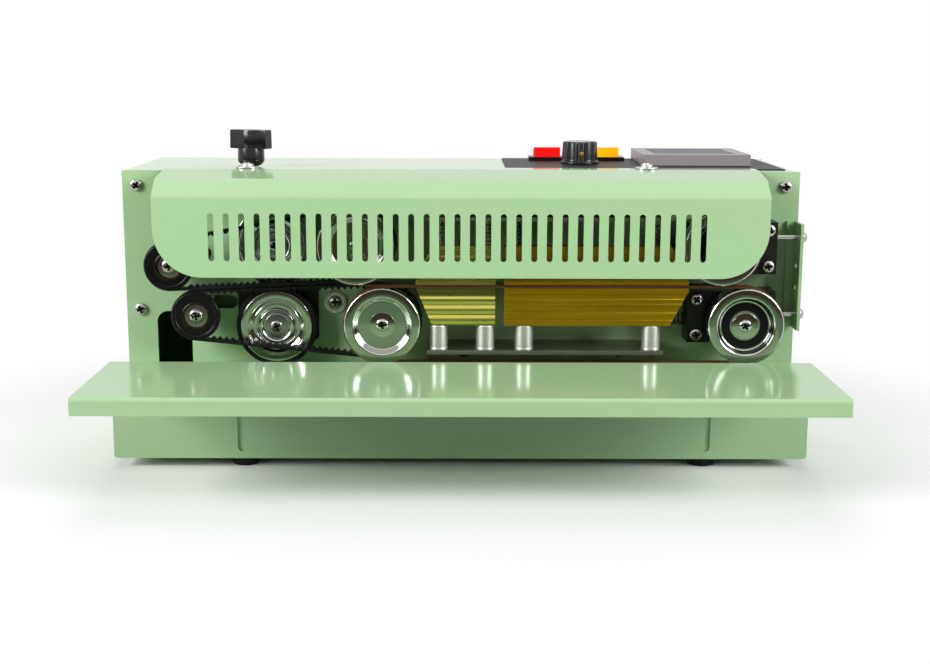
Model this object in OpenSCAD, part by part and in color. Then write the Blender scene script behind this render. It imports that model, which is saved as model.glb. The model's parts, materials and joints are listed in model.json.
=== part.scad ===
// Table-top continuous band sealer for bags.
// Local frame: X along the body to the right, Y back from the front face of the front plate,
// Z up from the floor. The finished part is moved so that its origin is the middle of its footprint.

/* [Body] */
// Width of the body, base and table
body_w = 550; // [540:1:600]
// Depth of the housing behind the front plate
body_d = 147; // [145:1:180]
// Height of the body's top above the floor
top_z = 231; // [229:1:240]
// Thickness of the front plate
plate_t = 3; // [2:0.5:4]
// Thickness of folded sheet
sheet_t = 1.5; // [1:0.25:2]
// Outer radius of a sheet bend
bend_r = 3; // [2.5:0.25:5]
// Width of the inner flanges that take the screws
flange_w = 20; // [16:1:26]
// Distance of the corner screws from the side edges
corner_in = 11.5; // [9:0.5:14]
// Distance of the upper corner screws from the top
corner_down = 12; // [9:0.5:16]
// Height of the lower corner screws above the floor
corner_low_z = 117; // [90:1:140]
// Diameter of an M5 screw
m5_d = 5; // [4:0.5:6]
// Diameter of an M5 pan head
m5_head_d = 10; // [8.5:0.5:11]
// Height of an M5 pan head
m5_head_h = 3.4; // [2.5:0.1:4]

/* [Base and table] */
// Height of a rubber foot
foot_h = 10; // [7:0.5:14]
// Diameter of a foot at the base
foot_d = 26; // [20:1:32]
// Diameter of a foot at the floor
foot_tip_d = 21; // [16:1:26]
// Left feet and left table slot, distance from the body's left side
left_x = 102; // [55:1:125]
// Right feet and right table slot, distance from the body's right side
right_x = 81; // [55:1:125]
// Distance of the front feet ahead of the front plate
foot_front = 48; // [30:1:49]
// Distance of the rear feet ahead of the housing's rear
foot_rear = 30; // [20:1:60]
// How far the base stands ahead of the front plate
base_out = 62.3; // [58:0.1:70]
// Height of the deck under the wheels
deck_z = 70; // [60:1:73]
// Depth of the table shelf
shelf_d = 123.5; // [100:0.5:150]
// Height of the table shelf
shelf_z = 86.5; // [84:0.5:92]
// Height of the front lip of the table
lip_h = 13; // [8:0.5:18]
// Height of the lower edge of the table above the floor
table_low_z = 8; // [7:0.5:10]
// Radius of the lower corners of the table
table_corner_r = 2.5; // [2:0.5:12]
// Width of a table slot
table_slot_w = 7.5; // [6.5:0.1:9]
// Height of the lower end of a table slot
table_slot_z = 14; // [12:0.5:18]
// Upward travel of the table
table_up = 36; // [15:1:38]
// Downward travel of the table
table_down = 6; // [3:0.5:6]
// Diameter of a washer screw's thread
m6_d = 6; // [5:0.5:6]
// Diameter of a washer
washer_d = 19; // [16:0.5:22]
// Thickness of a washer
washer_t = 1.6; // [1:0.1:2]

/* [Guard] */
// Width of the guard
guard_w = 481; // [420:1:500]
// Depth of the guard's seat on the top
guard_seat = 16; // [14:0.5:18]
// Distance of the upper crease ahead of the front plate
crease_out = 38; // [34:0.5:44]
// Drop of the upper crease below the guard's seat
crease_drop = 5; // [3:0.5:8]
// Distance of the guard's front face ahead of the front plate
guard_out = 55; // [53.5:0.5:60]
// Height of the lower crease
crease_low_z = 215; // [208:0.5:218]
// Height of the guard's lower edge
guard_low_z = 151.5; // [148:0.5:156]
// Radius of the guard's lower corners
guard_corner_r = 38; // [20:1:44]
// Number of slots
slot_count = 33; // [20:1:36]
// Pitch of the slots
slot_pitch = 12; // [10:0.5:12]
// Width of a slot
slot_w = 4.7; // [3:0.1:6]
// Height of the lower end of a slot
slot_low_z = 164.4; // [158:0.2:172]
// Length of a slot
slot_len = 37.6; // [26:0.2:42]
// Left guard screw, distance from the body's left side
guard_screw_left = 101; // [75:1:125]
// Right guard screw, distance from the body's right side
guard_screw_right = 124; // [75:1:145]
// Distance of the guard screws behind the front plate's face
guard_screw_y = 6; // [6:0.1:7]

/* [Sealing wheels and bands] */
// Height of the line where the bands meet
nip_z = 143.8; // [142:0.1:146]
// Lower drive wheel, distance from the body's left side
drive_x = 212.4; // [205:0.1:215]
// Lower tail wheel, distance from the body's right side
tail_x = 49; // [47:0.5:57]
// Radius of a sealing wheel
wheel_r = 30.3; // [30:0.1:30.6]
// Thickness of a sealing band
band_t = 0.5; // [0.4:0.05:0.6]
// Width of a sealing band
band_w = 15; // [12:0.5:15]
// Gap between the two bands
nip_gap = 0.6; // [0.5:0.1:0.8]
// Distance from the front plate to the back edge of the bands
band_y = 32.5; // [32:0.1:33]
// Overhang of a wheel behind its band
wheel_back = 1; // [0.8:0.1:1.5]
// Overhang of a wheel ahead of its band
wheel_front = 2.5; // [1.5:0.1:3]
// Width of a wheel's bright rim
rim_w = 8; // [6:0.5:10]
// Depth of the dish in a wheel's face
dish_d = 6; // [3:0.5:7]

/* [Guide belts] */
// Lower idler, distance from the body's left side
idler_x = 62; // [61:0.5:69]
// Distance of the upper idler further to the left
idler_shift = 20.5; // [18:0.5:24]
// How far the belts' line lies below the bands' line at the idlers
guide_drop = 6.6; // [5:0.2:8]
// Outer radius of a guide belt round an idler
idler_belt_r = 20.3; // [19:0.1:21]
// Thickness of a guide belt
belt_t = 1.8; // [1.4:0.1:2.2]
// Width of a guide belt
belt_w = 10; // [8:0.5:10.5]
// Distance from the front plate to the back edge of the belts
belt_y = 19.5; // [19.2:0.1:20]
// Pitch of the belt teeth
tooth_pitch = 5.08; // [4:0.01:6]
// Height of a belt tooth
tooth_h = 1.8; // [1:0.1:2]
// Width of a belt tooth at its foot
tooth_foot = 3.6; // [2.4:0.1:4]
// Width of a belt tooth at its tip
tooth_tip = 0.9; // [0.8:0.1:1.8]
// Length left without teeth beside a wheel
tooth_free = 10; // [9:0.5:14]
// Diameter of an idler axle
idler_axle_d = 8; // [6:0.5:8]
// Height of an idler's adjusting slot above the idler's axis
idler_rise = 6.6; // [6:0.2:8]
// Height of the adjusting slot of an idler
idler_slot_h = 11.4; // [10:0.2:14]

/* [Press wheels] */
// Press wheels, distance from the body's left side
press_x = 125; // [123:0.5:129]
// How far the press wheels' line lies below the bands' line
press_drop = 4.8; // [3:0.2:6]
// Width of a press wheel
press_w = 14; // [10:0.5:14.5]
// Distance from the front plate to the back of a press wheel
press_y = 4; // [3.6:0.1:4.4]
// Thickness of a rubber tyre
tyre_t = 3.8; // [2.5:0.1:5]
// Upward travel of the upper press wheel
press_lift = 1.5; // [0.5:0.1:2]
// Pressure screw, distance from the body's left side
pressure_x = 101; // [99:0.5:102]
// Distance of the pressure screw behind the front plate's face
pressure_y = 29; // [28.5:0.5:31]
// Diameter of the pressure screw
pressure_d = 8; // [6:0.5:8]

/* [Blocks] */
// Height of a block
block_h = 30.5; // [26:0.5:31]
// Depth of a block from front to back
block_d = 15; // [14:0.25:15.5]
// Gap between a block and its band
block_gap = 0.3; // [0.2:0.05:0.4]
// Left end of the cooling blocks, distance right of the lower drive wheel's axis
cool_left = 26.6; // [25.6:0.1:32.6]
// Right end of the cooling blocks, distance right of the lower drive wheel's axis
cool_right = 89.6; // [88.6:0.1:91.6]
// Slant of a cooling block's left end
cool_slant = 13; // [8:0.5:14]
// Left end of the heating blocks, distance right of the lower drive wheel's axis
heat_left = 96.6; // [94.6:0.1:100.6]
// Right end of the heating blocks, distance left of the lower tail wheel's axis
heat_right = 46; // [46:0.5:50]
// Slant of a heating block's right end
heat_slant = 14.5; // [8:0.5:16]
// Diameter of a lower post
post_d = 14; // [10:0.5:14]
// Height of a lower post
post_h = 20; // [14:0.5:20]
// Thickness of a rail
rail_t = 3.4; // [2.5:0.1:4]
// Height of a rail's fixing flange
rail_flange_h = 18; // [12:0.5:20]
// Diameter of a guide pin of an upper block
pin_d = 6; // [4:0.5:6]
// Travel of an upper block
block_lift = 2; // [1:0.5:2.5]

/* [Tension] */
// Long arm of a tension block from its axle
tension_long = 43; // [40:0.5:44]
// Short arm of a tension block from its axle
tension_short = 28; // [24:0.5:29]
// Extra length of the upper tension block
tension_extra = 4.8; // [0:0.2:5]
// Height of a tension block
tension_h = 42; // [38:0.5:44]
// Thickness of a tension block
tension_t = 24; // [20:0.5:25]
// Distance of a clamp screw from the block's end
clamp_in = 7; // [6.5:0.5:9]
// How far a block's middle lies from its axle towards the bands' line
tension_in = 3.5; // [2:0.5:4]
// Height of the clamp screws above and below the block's middle
clamp_dz = 14.5; // [12:0.5:15]
// Travel of a tension block
tension_travel = 3; // [1:0.5:3]
// Diameter of a tension screw
tension_d = 4; // [3:0.5:4]
// Height of a tension screw above the wheel's axis
tension_dz = 4; // [2:0.5:5]
// Height of a tension screw's head
tension_head_h = 4.8; // [3:0.1:6]
// Distance of the bracket's outer face from the body's side
bracket_in = 0.5; // [0.3:0.1:2]
// How far the bracket stands ahead of the plate
bracket_out = 24; // [20:0.5:30]
// Thickness of the bracket
bracket_t = 2.5; // [2:0.1:3]
// Width of the bracket's foot on the plate
bracket_foot = 9; // [6:0.5:12]

/* [Drive] */
// Gear module
gear_m = 2; // [2:0.05:2.1]
// Teeth of a large gear
gear_n = 33; // [33:1:35]
// Teeth of the motor pinion
pinion_n = 15; // [15:1:16]
// Width of a large gear
gear_w = 8; // [6:0.5:9]
// Gap between the two gear planes
gear_gap = 3; // [2:0.5:4]
// Distance of the first gear plane behind the front plate's face
gear_y = 40; // [39:0.5:42]
// Diameter of a shaft
shaft_d = 10; // [8:0.5:10]
// Diameter of a bearing tube
bearing_d = 22; // [18:0.5:22]
// Diameter of a bearing flange
bearing_flange_d = 32; // [26:0.5:34]
// Diameter of the motor
motor_d = 52; // [40:1:56]
// Length of the motor
motor_l = 38; // [30:1:48]
// Side of the square gearbox
gearbox_w = 60; // [50:1:64]
// Depth of the gearbox
gearbox_d = 30; // [24:1:32]

/* [Controls] */
// Thickness of the control panel
panel_t = 0.8; // [0.5:0.1:1.2]
// Left end of the control panel, distance from the body's right side
panel_left = 238; // [225:1:245]
// Right end of the control panel, distance from the body's right side
panel_right = 8; // [5:1:20]
// Depth of the control panel from front to back
panel_d = 128; // [120:1:129]
// Side of the temperature controller's bezel
dial_w = 91; // [80:1:92]
// Height of the temperature controller's bezel
bezel_h = 9.5; // [6:0.5:12]
// Middle of the temperature controller, distance from the body's right side
dial_x = 75; // [71:1:79]
// Speed knob, distance from the body's right side
knob_x = 172.5; // [171:0.5:174]
// Distance of the speed knob ahead of the housing's rear
knob_y = 70; // [66:1:76]
// Diameter of the speed knob's skirt
knob_d = 33; // [28:0.5:34]
// Height of the speed knob
knob_h = 19; // [14:0.5:24]
// Number of flutes on the speed knob
knob_flutes = 12; // [8:1:24]
// Heat switch, distance from the body's right side
heat_switch_x = 198.5; // [196:0.5:205]
// Motor switch, distance from the body's right side
motor_switch_x = 146.5; // [141:0.5:149]
// Distance of the switches ahead of the housing's rear
switch_y = 26; // [22:1:32]
// Length of a rocker
rocker_l = 23.5; // [20:0.5:24]
// Depth of a rocker from front to back
rocker_d = 15.6; // [12:0.2:16]
// Tilt of a rocker to each side
rocker_tilt = 10; // [6:0.5:12]
// Length of a switch frame
frame_l = 32.5; // [28:0.5:34]
// Depth of a switch frame
frame_d = 24; // [22:0.5:26]

/* [Fits] */
// Radial clearance of a running shaft
run_fit = 0.05; // [0.02:0.01:0.1]
// Radial clearance of pieces that turn together
firm_fit = 0.02; // [0.01:0.01:0.03]
// Radial clearance of a screw in its hole
screw_fit = 0.25; // [0.15:0.05:0.4]
// Gap between a loop and the wheels it runs on
loop_gap = 0.3; // [0.2:0.05:0.4]
// Gap between faces that slide on each other
slide_gap = 0.2; // [0.15:0.05:0.3]

/* [Hidden] */
$fn = 64;
half_w = body_w / 2;
rear_y = plate_t + body_d;
base_z = foot_h;
floor_z = base_z + sheet_t;
table_y = -(base_out + slide_gap);
table_front_y = table_y - sheet_t - shelf_d;
foot_xs = [left_x - half_w, half_w - right_x];
foot_ys = [-foot_front, rear_y - foot_rear];
guard_screw_xs = [guard_screw_left - half_w, half_w - guard_screw_right];
gland_out = 8;
gland_d = 22;
origin_x = (tension_head_h + slide_gap - bracket_in) / 2;
origin_y = (table_front_y + rear_y + sheet_t + gland_out) / 2;

// Axes of the sealing wheels: equal gears set how far the upper pair lies to the left
gear_r = gear_m * gear_n / 2;
pinion_r = gear_m * pinion_n / 2;
wheel_dz = wheel_r + loop_gap + band_t + nip_gap / 2;
wheel_shift = sqrt(pow(2 * gear_r, 2) - pow(2 * wheel_dz, 2));
low_drive = [drive_x - half_w, nip_z - wheel_dz];
up_drive = low_drive + [-wheel_shift, 2 * wheel_dz];
low_tail = [half_w - tail_x, nip_z - wheel_dz];
up_tail = low_tail + [-wheel_shift, 2 * wheel_dz];
band_in_r = wheel_r + loop_gap;

// Axes of the press wheels: their gears mesh straight above each other
low_press = [press_x - half_w, nip_z - press_drop - gear_r];
up_press = low_press + [0, 2 * gear_r];
pressure_at = [pressure_x - half_w, pressure_y];
press_r = gear_r - nip_gap / 4;

// Axes of the guide belt pulleys
pulley_belt_r = wheel_dz - nip_gap / 2;
pulley_r = pulley_belt_r - belt_t - loop_gap;
idler_r = idler_belt_r - belt_t - loop_gap;
idler_reach = 2 * idler_belt_r + nip_gap;
low_idler = [idler_x - half_w, nip_z - guide_drop - nip_gap / 2 - idler_belt_r];
guide_slope = guide_drop / (low_drive[0] - low_idler[0]);
up_idler = low_idler + [-idler_shift, idler_reach - idler_shift * guide_slope];

// Motor pinion: meshes with the lower drive gear and the lower press gear
pinion_reach = gear_r + pinion_r;
pair_mid = (low_drive + low_press) / 2;
pair_half = norm(low_drive - low_press) / 2;
pair_dir = (low_drive - low_press) / (2 * pair_half);
pinion_drop = sqrt(pow(pinion_reach, 2) - pow(pair_half, 2));
pinion_at = pair_mid + pinion_drop * [pair_dir[1], -pair_dir[0]];

// Turn of each gear that puts its teeth in the gaps of the last one
function heading(a, b) = atan2(b[1] - a[1], b[0] - a[0]);
function mesh_turn(turn, na, nb, dir) = dir + 180 + 180 / nb + (dir - turn) * na / nb;
low_drive_turn = heading(low_drive, up_drive);
up_drive_turn = mesh_turn(low_drive_turn, gear_n, gear_n, heading(low_drive, up_drive));
pinion_turn = mesh_turn(low_drive_turn, gear_n, pinion_n, heading(low_drive, pinion_at));
low_press_turn = mesh_turn(pinion_turn, pinion_n, gear_n, heading(pinion_at, low_press));
up_press_turn = mesh_turn(low_press_turn, gear_n, gear_n, heading(low_press, up_press));

// Places along Y
band_y0 = -(band_y + band_w);
band_y1 = -band_y;
wheel_y0 = band_y0 - wheel_front;
wheel_y1 = band_y1 + wheel_back;
belt_y0 = -(belt_y + belt_w);
belt_y1 = -belt_y;
pulley_side = 0.5;
press_y0 = -(press_y + press_w);
press_y1 = -press_y;
drive_gear_y = gear_y;
press_gear_y = gear_y + gear_w + gear_gap;
gears_end_y = press_gear_y + gear_w;
bearing_flange_t = 2.5;
bearing_end_y = gear_y - 3;
bearing_plate = [[-33, -14], [33, 30.5]];
bearing_plate_r = 4;
gearbox_y = gears_end_y + 6;
block_y0 = band_y0 + 1;
block_y1 = block_y0 + block_d;
pin_y = (block_y0 + block_y1) / 2;

// Heights of the blocks, posts and rails
block_low_z = nip_z - nip_gap / 2 - band_t - block_gap - block_h;
rail_low_z = block_low_z - post_h;
block_up_z = nip_z + nip_gap / 2 + band_t + block_gap + block_h;
rail_up_z = block_up_z + post_h;
cool_x = [low_drive[0] + cool_left, low_drive[0] + cool_right];
heat_x = [low_drive[0] + heat_left, low_tail[0] - heat_right];
cool_posts = [cool_x[0] + 18, cool_x[1] - 7.7];
heat_posts = [heat_x[0] + 16.3, heat_x[1] - 28.3];
rail_left = cool_posts[0] - 9;
rail_right = heat_posts[1] + 9;
rail_screws = [cool_posts[0] + 20, heat_posts[1] - 20];

// Tension blocks: the ends of each block and the places of its clamp screws
low_block_x = [low_tail[0] - tension_long, low_tail[0] + tension_short];
up_block_x = [up_tail[0] - tension_short, up_tail[0] + tension_long + tension_extra];
low_block_z = low_tail[1] + tension_in;
up_block_z = up_tail[1] - tension_in;
low_clamp_x = low_block_x[0] + clamp_in;
up_clamp_x = up_block_x[1] - clamp_in;
bracket_x1 = half_w - bracket_in;
bracket_x0 = bracket_x1 - bracket_t;
tension_y = -tension_t / 2;
screw_grip = tension_travel + 9;
stop_gap = 21;
bracket_holes = [-5.5, 12.5];

// Springs
block_spring = [5, 1.2, 6];
tension_spring = [4.5, 1.2, 6];
pressure_spring_size = [6, 1.6, 5];
slide_block_top = up_press[1] + 16;
pressure_cap_z = slide_block_top + 22;

// Controls
panel_y0 = guard_seat + 2;
panel_y1 = panel_y0 + panel_d;
panel_x = [half_w - panel_left, half_w - panel_right];
panel_top_z = top_z + panel_t;
controls_y = min(rear_y, panel_y1 + 4);
dial_at_x = half_w - dial_x;
dial_y0 = controls_y - dial_w - 5;
knob_at = [half_w - knob_x, controls_y - knob_y];
switch_xs = [half_w - heat_switch_x, half_w - motor_switch_x];
switch_at_y = controls_y - switch_y;
rocker_axis_z = panel_top_z + 1.6;
table_screw_z = table_slot_z + table_slot_w / 2 + table_up;
motor_post = pinion_at + [1.4, 33.9];

// Holes and guides of the front plate
corner_zs = [corner_low_z, top_z - corner_down];
corner_xs = [-half_w + corner_in, half_w - corner_in];
rear_corners = [for (x = corner_xs, z = corner_zs) [x, z]];
front_corners = [for (at = rear_corners) if (at[0] < 0 || at[1] > nip_z) at];
vent_low = [-half_w + 24.5, 60];
vent_high = [-half_w + 52.9, 115.3];
vent_r = 9;
guide_x = [pressure_at[0] - 16, up_press[0] + 20];
guide_w = 4;

// Cut-outs of the housing and the rear cover
knob_shaft_d = 6;
cutout_l = frame_l - 2;
cutout_d = frame_d - 2;
dial_body = dial_w - 7;
dial_depth = 60;
dial_hole = dial_body + 2 * slide_gap;
dial_hole_x = dial_at_x - dial_hole / 2;
dial_hole_y = dial_y0 + (dial_w - dial_hole) / 2;
gland_at = [half_w - 100, base_z + 40];
rear_vents = 14;
rear_vent_pitch = 12;
rear_vent_x = 115 - half_w;

// Small pieces of the drive
axle_cap_d = 21;
motor_shaft_d = 8;
hub_r = press_r - tyre_t;
boss_r = bearing_d / 2 + 1;
tongue_w = 22;
idler_flange_t = 2.5;
idler_slot_ends = [12, 29.3];

// Wing knob and switch cases
wing_l = 35;
wing_t = 12;
wing_h = 15.5;
wing_turn = -25;
neck_d = 22;
neck_z = top_z + 2;
neck_h = 14;
frame_h = 3.2;
case_h = 20;
rocker_top = 8.8;
rocker_dip = 1.6;
rocker_pin_d = 2;
rocker_pin_l = 1.5;
rocker_gap = 0.4;

// Grooves of the blocks: depth below the band, height and depth of each
heat_grooves = [[5, 4, 1.2], [12, 0.8, 0.8], [19, 0.8, 0.8], [25, 0.8, 0.8]];
cool_grooves = [[6, 2.6, 4], [11.5, 2.6, 4], [17, 2.6, 4], [22.5, 2.6, 4]];

// Shape of a gear tooth, and the shift of the guard's slots to the left
pressure_angle = 25;
tooth_steps = [-1.2, -0.6, -0.2, 0.3, 0.85];
backlash = 0.12;
slot_shift = 3;

green = [0.66, 0.83, 0.61];
chrome = [0.78, 0.79, 0.8];
steel = [0.62, 0.63, 0.65];
black = [0.07, 0.07, 0.08];
gold = [0.72, 0.58, 0.16];
brown = [0.36, 0.2, 0.1];

// Points of an arc in a plane
function arc(c, r, a0, a1, n = 16) =
    [for (i = [0:n]) c + r * [cos(a0 + (a1 - a0) * i / n), sin(a0 + (a1 - a0) * i / n)]];

// Polyline whose inner corners are rounded
function unit(v) = v / norm(v);
function turn_of(a, b, c) = let (u = unit(b - a), v = unit(c - b)) asin(u[0] * v[1] - u[1] * v[0]);
function round_corner(a, b, c, r, n = 5) =
    let (u = unit(b - a), v = unit(c - b), t = turn_of(a, b, c), s = t > 0 ? 1 : -1,
        reach = r * tan(abs(t) / 2), start = b - reach * u, hub = start + s * r * [-u[1], u[0]],
        a0 = atan2(start[1] - hub[1], start[0] - hub[0]))
    arc(hub, r, a0, a0 + t, n);
function rounded(p, r) = concat([p[0]], [for (i = [1:len(p) - 2])
    each round_corner(p[i - 1], p[i], p[i + 1], r)], [p[len(p) - 1]]);

// Outline of a sheet of thickness t on the left side of a polyline
function side_normal(p, i) =
    let (u = i > 0 ? unit(p[i] - p[i - 1]) : unit(p[1] - p[0]),
        v = i < len(p) - 1 ? unit(p[i + 1] - p[i]) : u, m = unit([-u[1] - v[1], u[0] + v[0]]))
    m / (m * [-u[1], u[0]]);
function sheet_outline(p, t) = concat(p,
    [for (i = [len(p) - 1:-1:0]) p[i] + t * side_normal(p, i)]);

// Cylinder along Y between two depths
module y_cyl(at, r, y0, y1) {
    translate([at[0], y1, at[1]])
        rotate([90, 0, 0])
            cylinder(r = r, h = y1 - y0);
}

// Solid of revolution about a Y axis: profile points are [radius, distance ahead of y1]
module y_turn(at, y1, profile) {
    translate([at[0], y1, at[1]])
        rotate([90, 0, 0])
            rotate_extrude()
                polygon(profile);
}

// Flat outline in X and Z between two depths
module y_plate(y0, y1) {
    translate([0, y1, 0])
        rotate([90, 0, 0])
            linear_extrude(y1 - y0)
                children();
}

// Outline in Y and Z between two widths
module x_plate(x0, x1) {
    translate([x0, 0, 0])
        rotate([90, 0, 90])
            linear_extrude(x1 - x0)
                children();
}

// Round-ended hole in X and Z, drawn from end to end
module slot_2d(a, b, w) {
    dir = unit(b - a);
    half = w / 2;
    side = half * [-dir[1], dir[0]];
    in_a = a + half * dir;
    in_b = b - half * dir;
    translate(in_a)
        circle(half);
    translate(in_b)
        circle(half);
    polygon([in_a + side, in_b + side, in_b - side, in_a - side]);
}

// Rectangle with round corners
module round_2d(low, high, r) {
    size = high - low;
    for (x = [low[0] + r, high[0] - r], z = [low[1] + r, high[1] - r])
        translate([x, z])
            circle(r);
    translate(low + [0, r])
        square(size - [0, 2 * r]);
    translate(low + [r, 0])
        square(size - [2 * r, 0]);
}

// Pan-head screw along +Y: head ahead of y_head, shank back to y_tip
module pan_screw(at, y_head, y_tip, d, head_d, head_h) {
    y_turn(at, y_tip, [[0, 0], [d / 2, 0], [d / 2, y_tip - y_head], [head_d / 2, y_tip - y_head],
        [head_d / 2, y_tip - y_head + head_h * 0.45], [head_d * 0.36, y_tip - y_head + head_h * 0.88],
        [head_d * 0.2, y_tip - y_head + head_h], [0, y_tip - y_head + head_h]]);
}

// Tube swept along a helix: mean radius, wire diameter and number of curls over a height
function helix_point(r, h, wire, curls, u) =
    [r * cos(360 * curls * u), r * sin(360 * curls * u), wire / 2 + (h - wire) * u];
function ring_point(r, h, wire, curls, u, a) =
    helix_point(r, h, wire, curls, u)
    + wire / 2 * (cos(a) * [cos(360 * curls * u), sin(360 * curls * u), 0] + sin(a) * [0, 0, 1]);
module coil(size, h) {
    rings = 8 * size[2];
    sides = 6;
    points = [for (i = [0:rings], j = [0:sides - 1])
        ring_point(size[0], h, size[1], size[2], i / rings, 360 * j / sides)];
    walls = [for (i = [0:rings - 1], j = [0:sides - 1])
        let (k = (j + 1) % sides, a = i * sides, b = a + sides)
        each [[a + j, b + j, b + k], [a + j, b + k, a + k]]];
    caps = [for (j = [1:sides - 2]) each [[0, j, j + 1],
        [rings * sides, rings * sides + j + 1, rings * sides + j]]];
    polyhedron(points, concat(walls, caps));
}
function coil_gap(size, h) =
    let (n = 8 * size[2], p = [for (i = [0:n]) helix_point(size[0], h, size[1], size[2], i / n)])
    min([for (i = [0:n - 6], j = [i + 6:n]) norm(p[i] - p[j])]) - size[1];
echo(least_coil_gaps = [coil_gap(block_spring, post_h), coil_gap(tension_spring, stop_gap),
    coil_gap(pressure_spring_size, pressure_cap_z - slide_block_top)]);

// Involute gear outline about the origin, with one tooth on +X
function involute(a) = tan(a) * 180 / PI - a;
function tooth_half(n, r) =
    let (pitch_r = gear_m * n / 2, base_r = pitch_r * cos(pressure_angle))
    90 / n - backlash / pitch_r * 180 / PI + involute(pressure_angle)
    - involute(r > base_r ? acos(base_r / r) : 0);
function tooth_radii(n) =
    let (p = gear_m * n / 2) [for (k = tooth_steps) p + k * gear_m];
function gear_points(n, turn) = [for (k = [0:n - 1], s = [-1, 1], i = [0:4])
    let (r = tooth_radii(n)[s < 0 ? i : 4 - i], a = turn + 360 * k / n + s * tooth_half(n, r))
    r * [cos(a), sin(a)]];
module spur_gear(at, n, turn, y0, y1, bore_r) {
    difference() {
        y_plate(y0, y1)
            translate(at)
                polygon(gear_points(n, turn));
        y_cyl(at, bore_r, y0 - 1, y1 + 1);
    }
}

// Ring of thickness t inside two equal wheels, for the sealing bands
function stadium(a, b, r) = concat(arc(b, r, -90, 90, 24), arc(a, r, 90, 270, 24));
module seal_band(a, b) {
    outer = stadium(a, b, band_in_r + band_t);
    inner = stadium(a, b, band_in_r);
    n = len(outer);
    color(brown)
        y_plate(band_y0, band_y1)
            polygon(concat(outer, inner), [[for (i = [0:n - 1]) i], [for (i = [0:n - 1]) n + i]]);
}

// Inner side of a straight belt run from p to q, with teeth towards the inside
function toothed_run(p, q, inward) =
    let (u = unit(q - p), span = norm(q - p), n = floor((span - 2 * tooth_free) / tooth_pitch),
        first = (span - (n - 1) * tooth_pitch) / 2)
    [for (i = [0:n - 1], k = [0:3])
        p + (first + i * tooth_pitch + [-tooth_foot, -tooth_tip, tooth_tip, tooth_foot][k] / 2) * u
        + (k == 1 || k == 2 ? tooth_h : 0) * inward];

// Direction of the common tangent's normal on two wheels, above or below
function tangent_turn(a, ra, b, rb, side) =
    heading(a, b) + side * acos((ra - rb) / norm(b - a));
function polar(c, r, a) = c + r * [cos(a), sin(a)];

// Guide belt round an idler and a drive pulley, with teeth along its straight runs
function belt_points(idler, drive, inset, teeth) =
    let (ri = idler_belt_r - inset, rp = pulley_belt_r - inset,
        high = tangent_turn(idler, ri, drive, rp, 1), low = tangent_turn(idler, ri, drive, rp, -1),
        run_high = [polar(drive, rp, high), polar(idler, ri, high)],
        run_low = [polar(idler, ri, low), polar(drive, rp, low)])
    concat(arc(drive, rp, low, high, 24),
        teeth ? toothed_run(run_high[0], run_high[1], -[cos(high), sin(high)]) : [],
        arc(idler, ri, high, 360 + low, 24),
        teeth ? toothed_run(run_low[0], run_low[1], -[cos(low), sin(low)]) : []);

module belt_solid(outer, inner) {
    n = len(outer);
    color(black)
        y_plate(belt_y0, belt_y1)
            polygon(concat(outer, inner),
                [[for (i = [0:n - 1]) i], [for (i = [0:len(inner) - 1]) n + i]]);
}

// Folded base and deck, and an end plate let into each end of the fold
module base_tray() {
    color(green) {
        translate([-half_w + sheet_t + slide_gap, rear_y - sheet_t, base_z])
            cube([body_w - 2 * (sheet_t + slide_gap), sheet_t, flange_w]);
        difference() {
            x_plate(-half_w, half_w)
                polygon([[rear_y, base_z], [-base_out, base_z], [-base_out, deck_z], [0, deck_z],
                    [0, deck_z - sheet_t], [-base_out + sheet_t, deck_z - sheet_t],
                    [-base_out + sheet_t, floor_z], [rear_y, floor_z]]);
            for (x = foot_xs)
                y_cyl([x, table_screw_z], m6_d / 2 + screw_fit, -base_out - 1, -base_out + sheet_t + 1);
        }
        for (x = [-half_w, half_w - sheet_t])
            translate([x, -base_out + sheet_t + firm_fit, floor_z + firm_fit])
                cube([sheet_t, base_out - sheet_t - firm_fit, deck_z - sheet_t - floor_z - 2 * firm_fit]);
    }
}

module rubber_feet() {
    color(black)
        for (x = foot_xs, y = foot_ys)
            translate([x, y, 0])
                rotate_extrude()
                    polygon([[0, 0], [foot_tip_d / 2 - 1, 0], [foot_tip_d / 2, 1],
                        [foot_d / 2, foot_h], [0, foot_h]]);
}

module front_plate() {
    color(green) {
        difference() {
            translate([-half_w, 0, floor_z])
                cube([body_w, plate_t, top_z - floor_z]);
            for (at = front_corners)
                y_cyl(at, m5_d / 2 + screw_fit, -1, plate_t + 1);
            for (at = [low_drive, up_drive, low_press])
                y_cyl(at, bearing_d / 2 + firm_fit, -1, plate_t + 1);
            for (x = rail_screws, z = [rail_low_z - rail_flange_h / 2, rail_up_z + rail_flange_h / 2])
                y_cyl([x, z], m5_d / 2 + screw_fit, -1, plate_t + 1);
            for (s = [-1, 1]) {
                y_cyl([low_clamp_x, low_block_z + s * clamp_dz], m5_d / 2 + screw_fit, -1,
                    plate_t + 1);
                y_cyl([up_clamp_x, up_block_z + s * clamp_dz], m5_d / 2 + screw_fit, -1,
                    plate_t + 1);
            }
            y_cyl(motor_post, m6_d / 2 + screw_fit, -1, plate_t + 1);
            y_plate(-1, plate_t + 1)
                union() {
                    round_2d(vent_low, vent_high, vent_r);
                    for (at = [low_idler, up_idler])
                        slot_2d(at + [-idler_slot_ends[0], idler_rise], at + [idler_slot_ends[1], idler_rise],
                            idler_slot_h);
                    slot_2d(up_press - [0, shaft_d / 2 + 1], up_press + [0, shaft_d / 2 + press_lift + 1],
                        shaft_d + 2);
                }
        }
        for (x = [guide_x[0] - guide_w - slide_gap, guide_x[1] + slide_gap])
            translate([x, plate_t, up_press[1] - 26])
                cube([guide_w, 11, slide_block_top + press_lift + 26 - up_press[1]]);
    }
}

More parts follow.
